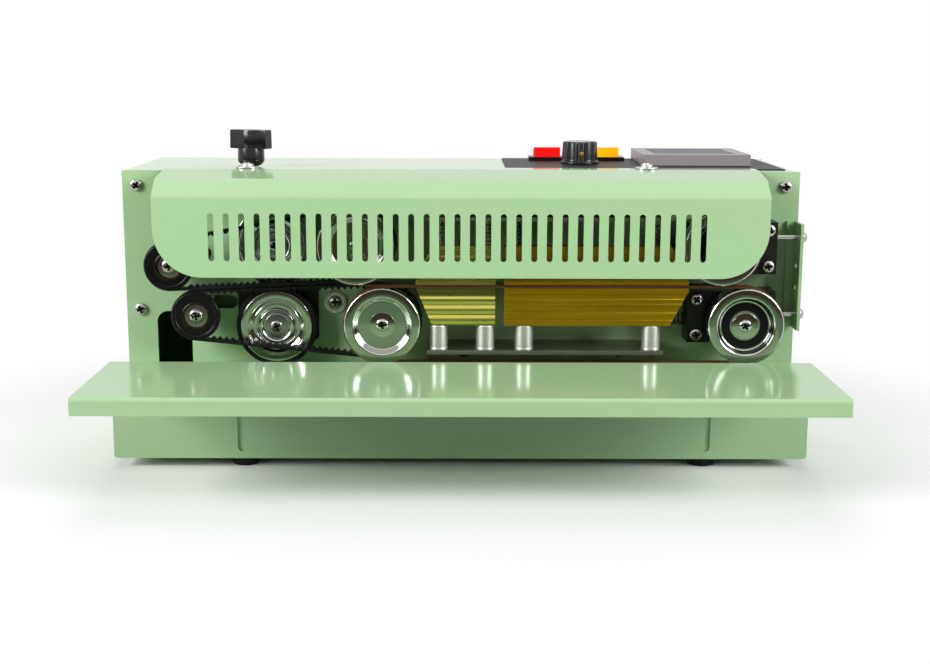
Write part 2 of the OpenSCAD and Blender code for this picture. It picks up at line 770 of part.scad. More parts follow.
module housing() {
    outline = sheet_outline(rounded([[half_w, floor_z], [half_w, top_z], [-half_w, top_z],
        [-half_w, floor_z]], bend_r), sheet_t);
    color(green)
        difference() {
            union() {
                y_plate(plate_t, rear_y)
                    polygon(outline);
                for (x = [-half_w + sheet_t, half_w - flange_w], y = [plate_t, rear_y - sheet_t])
                    translate([x, y, base_z + flange_w])
                        cube([flange_w - sheet_t, sheet_t, top_z - sheet_t - base_z - flange_w]);
            }
            for (at = front_corners)
                y_cyl(at, m5_d / 2 + firm_fit, plate_t - 1, plate_t + sheet_t + 1);
            for (at = rear_corners)
                y_cyl(at, m5_d / 2 + firm_fit, rear_y - sheet_t - 1, rear_y + 1);
            for (x = guard_screw_xs)
                translate([x, guard_screw_y, top_z - sheet_t - 1])
                    cylinder(r = m6_d / 2 + firm_fit, h = sheet_t + 2);
            translate(concat(pressure_at, top_z - sheet_t - 1))
                cylinder(r = pressure_d / 2 + run_fit, h = sheet_t + 2);
            translate(concat(knob_at, top_z - sheet_t - 1))
                cylinder(r = knob_shaft_d / 2 + screw_fit, h = sheet_t + 2);
            for (x = switch_xs)
                translate([x - cutout_l / 2, switch_at_y - cutout_d / 2, top_z - sheet_t - 1])
                    cube([cutout_l, cutout_d, sheet_t + 2]);
            translate([dial_hole_x, dial_hole_y, top_z - sheet_t - 1])
                cube([dial_hole, dial_hole, sheet_t + 2]);
        }
}

module rear_cover() {
    color(green)
        difference() {
            translate([-half_w, rear_y, base_z])
                cube([body_w, sheet_t, top_z - base_z]);
            for (at = rear_corners)
                y_cyl(at, m5_d / 2 + screw_fit, rear_y - 1, rear_y + sheet_t + 1);
            y_cyl(gland_at, gland_d / 2 - 3 + firm_fit, rear_y - 1, rear_y + sheet_t + 1);
            y_plate(rear_y - 1, rear_y + sheet_t + 1)
                for (i = [0:rear_vents - 1])
                    slot_2d([rear_vent_x + i * rear_vent_pitch, nip_z - 30],
                        [rear_vent_x + i * rear_vent_pitch, nip_z + 20], 4);
        }
}

module panel_screws() {
    block_face = -tension_t;
    color(chrome) {
        for (at = front_corners)
            pan_screw(at, 0, plate_t + sheet_t + 4, m5_d, m5_head_d, m5_head_h);
        for (at = rear_corners)
            translate([0, 2 * (rear_y + sheet_t), 0])
                mirror([0, 1, 0])
                    pan_screw(at, rear_y + sheet_t, rear_y + 2 * sheet_t + 6, m5_d, m5_head_d, m5_head_h);
        for (s = [-1, 1]) {
            pan_screw([low_clamp_x, low_block_z + s * clamp_dz], block_face - slide_gap * 2, plate_t + 4,
                m5_d, m5_head_d, m5_head_h);
            pan_screw([up_clamp_x, up_block_z + s * clamp_dz], block_face - slide_gap * 2, plate_t + 4,
                m5_d, m5_head_d, m5_head_h);
        }
        for (x = rail_screws, z = [rail_low_z - rail_flange_h / 2, rail_up_z + rail_flange_h / 2])
            pan_screw([x, z], -rail_t, plate_t + 4, m5_d, m5_head_d, m5_head_h);
    }
}

module belt_guard() {
    path = rounded([[guard_seat, top_z + sheet_t], [-sheet_t, top_z + sheet_t],
        [-crease_out, top_z + sheet_t - crease_drop], [-guard_out, crease_low_z],
        [-guard_out, guard_low_z]], bend_r);
    first_x = -slot_pitch * (slot_count - 1) / 2 - slot_shift;
    color(green)
        difference() {
            x_plate(-guard_w / 2, guard_w / 2)
                polygon(sheet_outline(path, sheet_t));
            y_plate(-guard_out - 1, -guard_out + sheet_t + 1)
                union() {
                    for (i = [0:slot_count - 1])
                        slot_2d([first_x + i * slot_pitch, slot_low_z],
                            [first_x + i * slot_pitch, slot_low_z + slot_len], slot_w);
                    for (s = [-1, 1])
                        difference() {
                            translate([s * (guard_w / 2 - guard_corner_r / 2 + 1),
                                    guard_low_z + guard_corner_r / 2 - 1])
                                square(guard_corner_r + 2, center = true);
                            translate([s * (guard_w / 2 - guard_corner_r), guard_low_z + guard_corner_r])
                                circle(guard_corner_r);
                            translate([s * (guard_w / 2 - guard_corner_r), guard_low_z + guard_corner_r])
                                translate([s > 0 ? -guard_corner_r : 0, -guard_corner_r])
                                    square([guard_corner_r, 3 * guard_corner_r]);
                            translate([s * (guard_w / 2) - (s > 0 ? 2 * guard_corner_r : 0),
                                    guard_low_z + guard_corner_r])
                                square(2 * guard_corner_r);
                        }
                }
            for (x = guard_screw_xs)
                translate([x, guard_screw_y, top_z - 1])
                    cylinder(r = m6_d / 2 + screw_fit, h = sheet_t + 2);
        }
}

// Washer screw along -Z or along +Y, drawn with its washer under the head
module washer_screw(length) {
    rotate_extrude()
        polygon([[0, -length], [m6_d / 2, -length], [m6_d / 2, 0], [washer_d / 2, 0],
            [washer_d / 2, washer_t], [m5_head_d / 2, washer_t], [m5_head_d / 2, washer_t + 1.5],
            [m5_head_d * 0.36, washer_t + 3], [0, washer_t + m5_head_h]]);
}

module washer_screws() {
    color(chrome) {
        for (x = guard_screw_xs)
            translate([x, guard_screw_y, top_z + sheet_t])
                washer_screw(2 * sheet_t + 5);
        for (x = foot_xs)
            translate([x, table_y - sheet_t - slide_gap, table_screw_z])
                rotate([90, 0, 0])
                    washer_screw(2 * sheet_t + 2 * slide_gap + 6);
        translate([motor_post[0], 0, motor_post[1]])
            rotate([90, 0, 0])
                washer_screw(plate_t + 6);
    }
}

module work_table() {
    path = rounded([[table_y, table_low_z], [table_y, shelf_z], [table_front_y, shelf_z],
        [table_front_y, shelf_z - lip_h]], bend_r);
    slot_top = table_screw_z + table_down + table_slot_w / 2;
    color(green)
        difference() {
            x_plate(-half_w, half_w)
                polygon(sheet_outline(path, sheet_t));
            y_plate(table_y - sheet_t - 1, table_y + 1)
                union() {
                    for (x = foot_xs)
                        slot_2d([x, table_slot_z], [x, slot_top], table_slot_w);
                    for (s = [-1, 1])
                        difference() {
                            translate([s * (half_w - table_corner_r / 2 + 1),
                                    table_low_z + table_corner_r / 2 - 1])
                                square(table_corner_r + 2, center = true);
                            translate([s * (half_w - table_corner_r), table_low_z + table_corner_r])
                                circle(table_corner_r);
                        }
                }
        }
}

module tension_bracket() {
    bracket_low_z = low_tail[1] - 8;
    bracket_up_z = up_tail[1] + 16;
    color(green) {
        difference() {
            union() {
                translate([bracket_x0, -bracket_out, bracket_low_z])
                    cube([bracket_t, bracket_out, bracket_up_z - bracket_low_z]);
                translate([bracket_x1 - bracket_foot, -bracket_t, bracket_low_z])
                    cube([bracket_foot, bracket_t, bracket_up_z - bracket_low_z]);
            }
            for (at = [low_tail, up_tail])
                translate([bracket_x0 - 1, tension_y, at[1] + tension_dz])
                    rotate([0, 90, 0])
                        cylinder(r = tension_d / 2 + run_fit, h = bracket_t + 2);
            for (dz = bracket_holes)
                translate([bracket_x0 - 1, tension_y, nip_z + dz])
                    rotate([0, 90, 0])
                        cylinder(d = tension_d, h = bracket_t + 2);
        }
        for (b = [[low_block_x[0], low_tail[1]], [up_block_x[0], up_tail[1]]])
            translate([b[0] - stop_gap - bracket_t, -tension_t + 5, b[1] - 8])
                cube([bracket_t, tension_t - 5, 16]);
    }
}

// Block with an axle hole, two clamp slots at one end and a threaded hole at the right
module tension_block(axle, ends, mid_z, clamp_x) {
    color(black)
        difference() {
            translate([ends[0], -tension_t, mid_z - tension_h / 2])
                cube([ends[1] - ends[0], tension_t - slide_gap, tension_h]);
            y_cyl(axle, shaft_d / 2 + firm_fit, -tension_t - 1, 1);
            y_plate(-tension_t - 1, 1)
                union()
                    for (s = [-1, 1])
                        slot_2d([clamp_x - m5_d / 2 - screw_fit, mid_z + s * clamp_dz],
                            [clamp_x + m5_d / 2 + screw_fit + tension_travel, mid_z + s * clamp_dz],
                            m5_d + 2 * screw_fit);
            translate([ends[1] - screw_grip - 2, tension_y, axle[1] + tension_dz])
                rotate([0, 90, 0])
                    cylinder(r = tension_d / 2 + run_fit, h = screw_grip + 3);
        }
}
module lower_tension_block() {
    tension_block(low_tail, low_block_x, low_block_z, low_clamp_x);
}
module upper_tension_block() {
    tension_block(up_tail, up_block_x, up_block_z, up_clamp_x);
}

// Axle of a tail wheel with its end washer and screw
module tail_axle(at) {
    foot_y = -4;
    cap = foot_y - (wheel_y0 + dish_d) + slide_gap;
    collar = [foot_y + tension_t, foot_y - wheel_y1 - slide_gap];
    color(chrome)
        y_turn(at, foot_y, [[0, 0], [shaft_d / 2, 0], [shaft_d / 2, collar[0]],
            [shaft_d / 2 + 2, collar[0]], [shaft_d / 2 + 2, collar[1]], [shaft_d / 2, collar[1]],
            [shaft_d / 2, cap], [axle_cap_d / 2, cap], [axle_cap_d / 2, cap + 1.5],
            [m5_head_d / 2, cap + 1.5], [m5_head_d / 2, cap + 3], [m5_head_d * 0.36, cap + 4.4],
            [0, cap + 5]]);
}
module lower_tail_axle() {
    tail_axle(low_tail);
}
module upper_tail_axle() {
    tail_axle(up_tail);
}

// Sealing wheel: bright rim, dished face and a bore
module sealing_wheel(at, bore_r) {
    wide = wheel_y1 - wheel_y0;
    face_r = wheel_r - rim_w;
    color(chrome)
        y_turn(at, wheel_y1, [[bore_r, 0], [wheel_r, 0], [wheel_r, wide - 1], [wheel_r - 1, wide],
            [face_r, wide], [face_r - 2.5, wide - dish_d], [bore_r, wide - dish_d]]);
}
module lower_tail_wheel() {
    sealing_wheel(low_tail, shaft_d / 2 + run_fit);
}
module upper_tail_wheel() {
    sealing_wheel(up_tail, shaft_d / 2 + run_fit);
}
module lower_drive_wheel() {
    sealing_wheel(low_drive, shaft_d / 2 + firm_fit);
}
module upper_drive_wheel() {
    sealing_wheel(up_drive, shaft_d / 2 + firm_fit);
}

// Screw that pulls a tension block towards the bracket
module tension_screw(axle, block_end) {
    seat = bracket_x1 + slide_gap;
    color(steel)
        translate([0, tension_y, axle[1] + tension_dz])
            rotate([0, 90, 0])
                rotate_extrude()
                    polygon([[0, block_end - screw_grip], [tension_d / 2, block_end - screw_grip],
                        [tension_d / 2, seat], [tension_d * 1.3, seat],
                        [tension_d * 1.3, seat + tension_head_h * 0.4],
                        [tension_d * 0.7, seat + tension_head_h], [0, seat + tension_head_h]]);
}
module lower_tension_screw() {
    tension_screw(low_tail, low_block_x[1]);
}
module upper_tension_screw() {
    tension_screw(up_tail, up_block_x[1]);
}

// Shaft with a washer and screw that hold the wheel at its front end
module wheel_shaft(at, face_y, end_y) {
    color(steel)
        y_turn(at, end_y, [[0, 0], [shaft_d / 2, 0], [shaft_d / 2, end_y - face_y],
            [shaft_d, end_y - face_y], [shaft_d, end_y - face_y + 0.8],
            [m5_head_d / 2, end_y - face_y + 0.8],
            [m5_head_d / 2, end_y - face_y + 2.4], [m5_head_d * 0.3, end_y - face_y + m5_head_h],
            [0, end_y - face_y + m5_head_h]]);
}
module lower_drive_shaft() {
    wheel_shaft(low_drive, wheel_y0 + dish_d, drive_gear_y + gear_w);
}
module upper_drive_shaft() {
    wheel_shaft(up_drive, wheel_y0 + dish_d, drive_gear_y + gear_w);
}
module lower_press_shaft() {
    wheel_shaft(low_press, press_y0 + 2, gears_end_y);
}
module upper_press_shaft() {
    wheel_shaft(up_press, press_y0 + 2, gears_end_y);
}

module large_gear(at, turn, y0) {
    spur_gear(at, gear_n, turn, y0, y0 + gear_w, shaft_d / 2 + firm_fit);
}
module lower_drive_gear() {
    color(steel)
        large_gear(low_drive, low_drive_turn, drive_gear_y);
}
module upper_drive_gear() {
    color(steel)
        large_gear(up_drive, up_drive_turn, drive_gear_y);
}
module lower_press_gear() {
    color(steel)
        large_gear(low_press, low_press_turn, press_gear_y);
}
module upper_press_gear() {
    color(steel)
        large_gear(up_press, up_press_turn, press_gear_y);
}
module motor_pinion() {
    color(steel) {
        y_plate(gear_y - 1, gears_end_y + 1)
            translate(pinion_at)
                polygon(gear_points(pinion_n, pinion_turn));
        y_cyl(pinion_at, motor_shaft_d / 2, gears_end_y, gearbox_y + gearbox_d / 2);
    }
}

// Pulley of a guide belt on a drive shaft
module belt_pulley(at) {
    color(black)
        difference() {
            y_cyl(at, pulley_r, belt_y0 - pulley_side, belt_y1 + pulley_side);
            y_cyl(at, shaft_d / 2 + firm_fit, belt_y0 - 2, belt_y1 + 2);
        }
}
module lower_belt_pulley() {
    belt_pulley(low_drive);
}
module upper_belt_pulley() {
    belt_pulley(up_drive);
}

module shaft_bearings() {
    color(black)
        difference() {
            y_plate(-bearing_flange_t, 0)
                round_2d(low_press + bearing_plate[0], low_press + bearing_plate[1], bearing_plate_r);
            y_cyl(low_press, bearing_d / 2 - 1, -bearing_flange_t - 1, 1);
        }
    color(steel)
        for (at = [low_drive, up_drive, low_press])
            y_turn(at, bearing_end_y, [[shaft_d / 2 + run_fit, 0], [bearing_d / 2, 0],
                [bearing_d / 2, bearing_end_y], [bearing_flange_d / 2, bearing_end_y],
                [bearing_flange_d / 2, bearing_end_y + bearing_flange_t],
                [shaft_d / 2 + run_fit, bearing_end_y + bearing_flange_t]]);
}

// Press wheel: stepped bright disc and a rubber tyre
module press_disc(at) {
    color(chrome)
        y_turn(at, press_y1, [[shaft_d / 2 + firm_fit, 0], [hub_r, 0], [hub_r, press_w - 0.8],
            [hub_r - 0.8, press_w], [hub_r * 0.8, press_w], [hub_r * 0.78, press_w - 1.6],
            [hub_r * 0.64, press_w - 1.6], [hub_r * 0.62, press_w - 0.2], [hub_r * 0.42, press_w - 0.2],
            [hub_r * 0.38, press_w - 2], [shaft_d / 2 + firm_fit, press_w - 2]]);
}
module press_tyre(at, tone) {
    color(tone)
        y_turn(at, press_y1, [[hub_r + firm_fit, 0], [press_r - 0.8, 0], [press_r, 0.8],
            [press_r, press_w - 1.8], [press_r - 0.8, press_w - 1], [hub_r + firm_fit, press_w - 1]]);
}
module lower_press_wheel() {
    press_disc(low_press);
}
module upper_press_wheel() {
    press_disc(up_press);
}
module lower_press_tyre() {
    press_tyre(low_press, black);
}
module upper_press_tyre() {
    press_tyre(up_press, steel);
}

// Block that carries the upper press shaft and slides between two guides on the plate
module press_slide_block() {
    block_y = plate_t + slide_gap;
    color(black)
        difference() {
            union() {
                translate([guide_x[0], block_y, up_press[1] - 14])
                    cube([guide_x[1] - guide_x[0], 10.5, slide_block_top - up_press[1] + 14]);
                translate([pressure_at[0] - tongue_w / 2, block_y, slide_block_top - 8])
                    cube([tongue_w, pressure_y + 8 - block_y, 8]);
                y_cyl(up_press, boss_r, block_y + 10, bearing_end_y);
            }
            y_cyl(up_press, shaft_d / 2 + run_fit, 0, gear_y);
        }
}

module pressure_knob() {
    color(black)
        translate(concat(pressure_at, 0)) {
            translate([0, 0, pressure_cap_z - 2])
                cylinder(d = pressure_d, h = neck_z + 4 - pressure_cap_z);
            translate([0, 0, pressure_cap_z])
                cylinder(r = pressure_spring_size[0] + pressure_spring_size[1], h = 2);
            translate([0, 0, neck_z])
                rotate_extrude()
                    polygon([[0, 0], [neck_d / 2 - 3, 0], [neck_d / 2, 3], [neck_d / 2, neck_h],
                        [0, neck_h]]);
            translate([0, 0, neck_z + neck_h])
                rotate(wing_turn)
                    linear_extrude(wing_h)
                        slot_2d([-wing_l / 2, 0], [wing_l / 2, 0], wing_t);
        }
}

module pressure_spring() {
    color(steel)
        translate(concat(pressure_at, slide_block_top))
            coil(pressure_spring_size, pressure_cap_z - slide_block_top);
}

module gear_motor() {
    box_low = [pinion_at[0] - gearbox_w / 2, pinion_at[1] - gearbox_w / 2];
    lug_w = 18;
    color(steel)
        difference() {
            union() {
                translate([box_low[0], gearbox_y, box_low[1]])
                    cube([gearbox_w, gearbox_d, gearbox_w]);
                translate([box_low[0], gearbox_y, floor_z])
                    cube([gearbox_w, 8, box_low[1] - floor_z + 1]);
                translate([box_low[0], gearbox_y, floor_z])
                    cube([gearbox_w, gearbox_d, 5]);
                translate([motor_post[0] - lug_w / 2, gearbox_y, motor_post[1] - lug_w])
                    cube([lug_w, 8, lug_w + 6]);
                y_cyl(motor_post, 4.5, plate_t, gearbox_y + 1);
                y_cyl(pinion_at, motor_d / 2, gearbox_y + gearbox_d - 1, gearbox_y + gearbox_d + motor_l);
                y_cyl(pinion_at, motor_shaft_d / 2 + 5, gears_end_y + 2, gearbox_y + 1);
            }
            y_cyl(pinion_at, motor_shaft_d / 2 + run_fit, gears_end_y, gearbox_y + gearbox_d / 2 + 1);
            y_cyl(motor_post, m6_d / 2 + firm_fit, plate_t - 1, plate_t + 8);
        }
}

module lower_seal_band() {
    seal_band(low_drive, low_tail);
}
module upper_seal_band() {
    seal_band(up_drive, up_tail);
}
module lower_guide_belt() {
    belt_solid(belt_points(low_idler, low_drive, 0, false), belt_points(low_idler, low_drive, belt_t, true));
}
module upper_guide_belt() {
    belt_solid(belt_points(up_idler, up_drive, 0, false), belt_points(up_idler, up_drive, belt_t, true));
}

// Idler pulley with a front flange and a recess for its bearing
module guide_idler(at) {
    wide = belt_w + 2 * pulley_side;
    bore = idler_axle_d / 2 + run_fit;
    color(black)
        y_turn(at, belt_y1 + pulley_side, [[bore, 0], [idler_r, 0], [idler_r, wide],
            [idler_r + belt_t - 0.4, wide + 0.2], [idler_r + belt_t - 0.4, wide + idler_flange_t - 0.8],
            [idler_r + belt_t - 1.2, wide + idler_flange_t], [10, wide + idler_flange_t], [9.5, wide - 1],
            [bore, wide - 1]]);
}
module lower_guide_idler() {
    guide_idler(low_idler);
}
module upper_guide_idler() {
    guide_idler(up_idler);
}
module idler_axles() {
    back = plate_t + 6;
    foot_r = 8;
    foot_t = 2;
    collar_y = belt_y1 + pulley_side + slide_gap;
    front = belt_y0 - pulley_side + 1 - slide_gap;
    color(steel)
        for (at = [low_idler, up_idler]) {
            y_turn(at + [0, idler_rise], back, [[0, 0], [9, 0], [9, 6], [idler_axle_d / 2, 6],
                [idler_axle_d / 2, back + 1], [0, back + 1]]);
            y_plate(-foot_t, 0)
                slot_2d(at - [0, foot_r], at + [0, idler_rise + foot_r], 2 * foot_r);
            y_turn(at, -foot_t / 2, [[0, 0], [6, 0], [6, -foot_t / 2 - collar_y],
                [idler_axle_d / 2, -foot_t / 2 - collar_y], [idler_axle_d / 2, -foot_t / 2 - front],
                [5.6, -foot_t / 2 - front], [5.6, -foot_t / 2 - front + 1.4], [4.2, -foot_t / 2 - front + 3],
                [0, -foot_t / 2 - front + 3.4]]);
        }
}

// Angle rail with its flange on the plate: s is -1 for the lower one and 1 for the upper one
module block_rail(z, s, hole_r) {
    difference() {
        union() {
            translate([rail_left, block_y0, s > 0 ? z : z - rail_t])
                cube([rail_right - rail_left, -block_y0, rail_t]);
            translate([rail_left, -rail_t, s > 0 ? z : z - rail_flange_h])
                cube([rail_right - rail_left, rail_t, rail_flange_h]);
        }
        for (x = concat(cool_posts, heat_posts))
            translate([x, pin_y, z - rail_t - 1])
                cylinder(r = hole_r, h = 2 * rail_t + 2);
        for (x = rail_screws)
            y_cyl([x, z + s * rail_flange_h / 2], m5_d / 2 + screw_fit, -rail_t - 1, 1);
    }
}

module block_supports() {
    color(steel) {
        block_rail(rail_low_z, -1, m5_d / 2);
        block_rail(rail_up_z, 1, pin_d / 2 + slide_gap);
        for (x = concat(cool_posts, heat_posts))
            translate([x, pin_y, rail_low_z + firm_fit])
                cylinder(d = post_d, h = post_h - 2 * firm_fit);
    }
}

// Outlines of the blocks below the nip line, as distances below the band
module heat_outline() {
    polygon([[heat_x[0], 0], [heat_x[1], 0], [heat_x[1], -3], [heat_x[1] - heat_slant, -block_h],
        [heat_x[0], -block_h]]);
}
module cool_outline() {
    polygon([[cool_x[0], 0], [cool_x[1], 0], [cool_x[1], -block_h], [cool_x[0] + cool_slant, -block_h],
        [cool_x[0], -3]]);
}

// Block with grooves along its front face
module grooved_block(grooves) {
    difference() {
        y_plate(block_y0, block_y1)
            children();
        for (g = grooves)
            translate([-half_w, block_y0 - 1, -g[0] - g[1]])
                cube([body_w, g[2] + 1, g[1]]);
    }
}
module lower_heat_block() {
    color(gold)
        translate([0, 0, block_low_z + block_h])
            grooved_block(heat_grooves)
                heat_outline();
}
module lower_cool_block() {
    color(gold)
        translate([0, 0, block_low_z + block_h])
            grooved_block(cool_grooves)
                cool_outline();
}

// Guide pins of an upper block, with heads that stop it above the rail
module guide_pins(xs) {
    for (x = xs)
        translate([x, pin_y, block_up_z - 4]) {
            cylinder(d = pin_d, h = post_h + rail_t + slide_gap + 5);
            translate([0, 0, post_h + rail_t + slide_gap + 4])
                cylinder(d = pin_d + 4, h = 3);
        }
}
module upper_heat_block() {
    color(gold) {
        translate([0, 0, block_up_z - block_h])
            mirror([0, 0, 1])
                grooved_block(heat_grooves)
                    heat_outline();
        guide_pins(heat_posts);
    }
}
module upper_cool_block() {
    color(gold) {
        translate([0, 0, block_up_z - block_h])
            mirror([0, 0, 1])
                grooved_block(cool_grooves)
                    cool_outline();
        guide_pins(cool_posts);
    }
}

module coil_springs() {
    color(steel) {
        for (x = concat(cool_posts, heat_posts))
            translate([x, pin_y, block_up_z])
                coil(block_spring, post_h);
        for (b = [[low_block_x[0], low_tail[1]], [up_block_x[0], up_tail[1]]])
            translate([b[0] - stop_gap, tension_y, b[1]])
                rotate([0, 90, 0])
                    coil(tension_spring, stop_gap);
    }
}

module control_panel() {
    color(black)
        difference() {
            translate([panel_x[0], panel_y0, top_z])
                cube([panel_x[1] - panel_x[0], panel_y1 - panel_y0, panel_t]);
            translate(concat(knob_at, top_z - 1))
                cylinder(r = knob_shaft_d / 2 + screw_fit, h = panel_t + 2);
            for (x = switch_xs)
                translate([x - cutout_l / 2, switch_at_y - cutout_d / 2, top_z - 1])
                    cube([cutout_l, cutout_d, panel_t + 2]);
            translate([dial_hole_x, dial_hole_y, top_z - 1])
                cube([dial_hole, dial_hole, panel_t + 2]);
        }
}

module temperature_controller() {
    window_w = dial_w - 22;
    color([0.5, 0.52, 0.54]) {
        difference() {
            translate([dial_at_x - dial_w / 2, dial_y0, panel_top_z])
                cube([dial_w, dial_w, bezel_h]);
            translate([dial_at_x - window_w / 2, dial_y0 + 11, panel_top_z + bezel_h - 1])
                cube([window_w, window_w, 2]);
        }
        translate([dial_at_x - dial_body / 2, dial_y0 + (dial_w - dial_body) / 2,
                panel_top_z - dial_depth])
            cube([dial_body, dial_body, dial_depth]);
    }
}

module speed_knob() {
    top_r = knob_d / 2 - 2;
    flute_r = 2.4;
    color(black)
        translate(concat(knob_at, panel_top_z)) {
            difference() {
                translate([0, 0, slide_gap])
                    rotate_extrude()
                        polygon([[0, 0], [knob_d / 2, 0], [knob_d / 2, 2.5], [top_r, 4.5],
                            [top_r - 0.8, knob_h - 1], [top_r - 1.8, knob_h], [0, knob_h]]);
                for (i = [0:knob_flutes - 1])
                    rotate(360 * i / knob_flutes)
                        translate([top_r + 1.4, 0, 5])
                            cylinder(r = flute_r, h = knob_h);
            }
            translate([0, 0, -14])
                cylinder(d = knob_shaft_d, h = 16);
        }
}

// Rocker on two pins along X, drawn with its rear edge pressed down
module rocker(x, tint) {
    half = rocker_d / 2;
    foot = rocker_axis_z - panel_top_z + 3.4;
    color(tint)
        translate([x - rocker_l / 2, switch_at_y, rocker_axis_z]) {
            rotate([-rocker_tilt, 0, 0])
                x_plate(0, rocker_l)
                    polygon([[-half, -2.5], [-half, rocker_top], [0, rocker_top - rocker_dip],
                        [half, rocker_top], [half, -2.5], [4, -foot], [-4, -foot]]);
            translate([-rocker_pin_l, 0, 0])
                rotate([0, 90, 0])
                    cylinder(d = rocker_pin_d, h = rocker_l + 2 * rocker_pin_l);
        }
}
module heat_rocker() {
    rocker(switch_xs[0], [0.75, 0.08, 0.08]);
}
module motor_rocker() {
    rocker(switch_xs[1], [0.85, 0.6, 0.1]);
}

// Switch frame: a collar on the panel and a case below it
module switch_frames() {
    hole_d = rocker_d + 3.2;
    hole_l = rocker_l + 2 * rocker_gap;
    bore_l = rocker_l + 2 * rocker_pin_l + rocker_gap;
    color(black)
        for (x = switch_xs)
            difference() {
                union() {
                    translate([x - frame_l / 2, switch_at_y - frame_d / 2, panel_top_z])
                        cube([frame_l, frame_d, frame_h]);
                    translate([x - cutout_l / 2 + slide_gap, switch_at_y - cutout_d / 2 + slide_gap,
                            panel_top_z - case_h])
                        cube([cutout_l - 2 * slide_gap, cutout_d - 2 * slide_gap, case_h]);
                }
                translate([x - hole_l / 2, switch_at_y - hole_d / 2, panel_top_z - 9])
                    cube([hole_l, hole_d, frame_h + 10]);
                translate([x - bore_l / 2, switch_at_y, rocker_axis_z])
                    rotate([0, 90, 0])
                        cylinder(d = rocker_pin_d + 2 * run_fit, h = bore_l);
            }
}

module power_gland() {
    bore_r = 4;
    neck_r = gland_d / 2 - 3;
    inside = 10;
    color(black)
        translate([gland_at[0], rear_y, gland_at[1]])
            rotate([-90, 0, 0])
                rotate_extrude()
                    polygon([[bore_r, -inside], [neck_r, -inside], [neck_r, sheet_t],
                        [gland_d / 2, sheet_t],
                        [gland_d / 2, sheet_t + 4], [neck_r, sheet_t + gland_out],
                        [bore_r, sheet_t + gland_out]]);
}

// Moves the whole part so that the middle of its footprint is the origin
module placed() {
    translate([-origin_x, -origin_y, 0])
        children();
}

placed() base_tray();
placed() front_plate();
placed() housing();
placed() rear_cover();
placed() rubber_feet();
placed() panel_screws();
placed() belt_guard();
placed() washer_screws();
placed() work_table();
placed() tension_bracket();
placed() lower_tension_block();
placed() upper_tension_block();
placed() lower_tail_axle();
placed() upper_tail_axle();
placed() lower_tail_wheel();
placed() upper_tail_wheel();
placed() lower_tension_screw();
placed() upper_tension_screw();
placed() lower_drive_shaft();
placed() upper_drive_shaft();
placed() lower_drive_gear();
placed() upper_drive_gear();
placed() lower_belt_pulley();
placed() upper_belt_pulley();
placed() lower_drive_wheel();
placed() upper_drive_wheel();
placed() shaft_bearings();
placed() lower_press_shaft();
placed() upper_press_shaft();
placed() lower_press_gear();
placed() upper_press_gear();
placed() lower_press_wheel();
placed() upper_press_wheel();
placed() lower_press_tyre();
placed() upper_press_tyre();
placed() press_slide_block();
placed() pressure_knob();
placed() pressure_spring();
placed() gear_motor();
placed() motor_pinion();
placed() lower_seal_band();
placed() upper_seal_band();
placed() lower_guide_belt();
placed() upper_guide_belt();
placed() lower_guide_idler();
placed() upper_guide_idler();
placed() idler_axles();
placed() block_supports();
placed() lower_heat_block();
placed() lower_cool_block();
placed() upper_heat_block();
placed() upper_cool_block();
placed() coil_springs();
placed() control_panel();
placed() temperature_controller();
placed() speed_knob();
placed() heat_rocker();
placed() motor_rocker();
placed() switch_frames();
placed() power_gland();
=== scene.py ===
"""Looks of a table-top band sealer for bags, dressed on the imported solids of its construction."""

import json
import logging
import math
from collections.abc import Callable, Iterable, Sequence
from dataclasses import dataclass, field
from enum import Enum

import bmesh
import bpy
from mathutils import Matrix, Vector

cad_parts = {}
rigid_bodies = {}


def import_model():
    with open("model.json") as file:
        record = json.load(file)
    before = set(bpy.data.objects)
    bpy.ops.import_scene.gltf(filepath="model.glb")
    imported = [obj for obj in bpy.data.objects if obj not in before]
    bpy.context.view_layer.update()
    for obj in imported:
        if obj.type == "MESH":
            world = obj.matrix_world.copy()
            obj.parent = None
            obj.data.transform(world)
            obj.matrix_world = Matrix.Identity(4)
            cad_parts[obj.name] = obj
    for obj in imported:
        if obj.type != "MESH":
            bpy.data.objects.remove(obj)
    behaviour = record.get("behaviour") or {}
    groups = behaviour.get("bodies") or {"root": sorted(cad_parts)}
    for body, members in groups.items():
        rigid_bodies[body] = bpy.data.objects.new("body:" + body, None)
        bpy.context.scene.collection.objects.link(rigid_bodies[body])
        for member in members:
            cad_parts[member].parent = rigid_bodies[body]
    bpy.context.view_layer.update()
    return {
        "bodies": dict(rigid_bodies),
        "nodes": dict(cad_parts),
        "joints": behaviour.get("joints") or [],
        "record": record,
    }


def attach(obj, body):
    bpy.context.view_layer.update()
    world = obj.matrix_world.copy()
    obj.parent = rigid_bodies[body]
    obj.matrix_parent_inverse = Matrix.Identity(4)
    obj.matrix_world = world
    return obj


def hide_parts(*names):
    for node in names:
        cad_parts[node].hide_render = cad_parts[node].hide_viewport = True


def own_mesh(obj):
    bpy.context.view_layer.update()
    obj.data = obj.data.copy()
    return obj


LOG = logging.getLogger("bag_sealer")
MM = 0.001
ORIGIN = Vector((2.25, -14.0, 0.0))
SKIN = "Principled BSDF"
TURN_RADIUS = "turn_radius"
# Mask attribute and colour of painted shade: where the mask is set, a finish's colour is mixed towards near black,
# standing in for shade in screw recesses and on the lower cooling block's top strip.
PAINTED_SHADE_MASK = "recess"
PAINTED_SHADE_COLOUR = (0.015, 0.015, 0.014)
WIDE_SCALE = 14.0
WIDE_DETAIL = 4.0
BUMP_DISTANCE = 0.0002
TINY = 1e-6

Colour = tuple[float, float, float]
Profile = Sequence[tuple[float, float]]


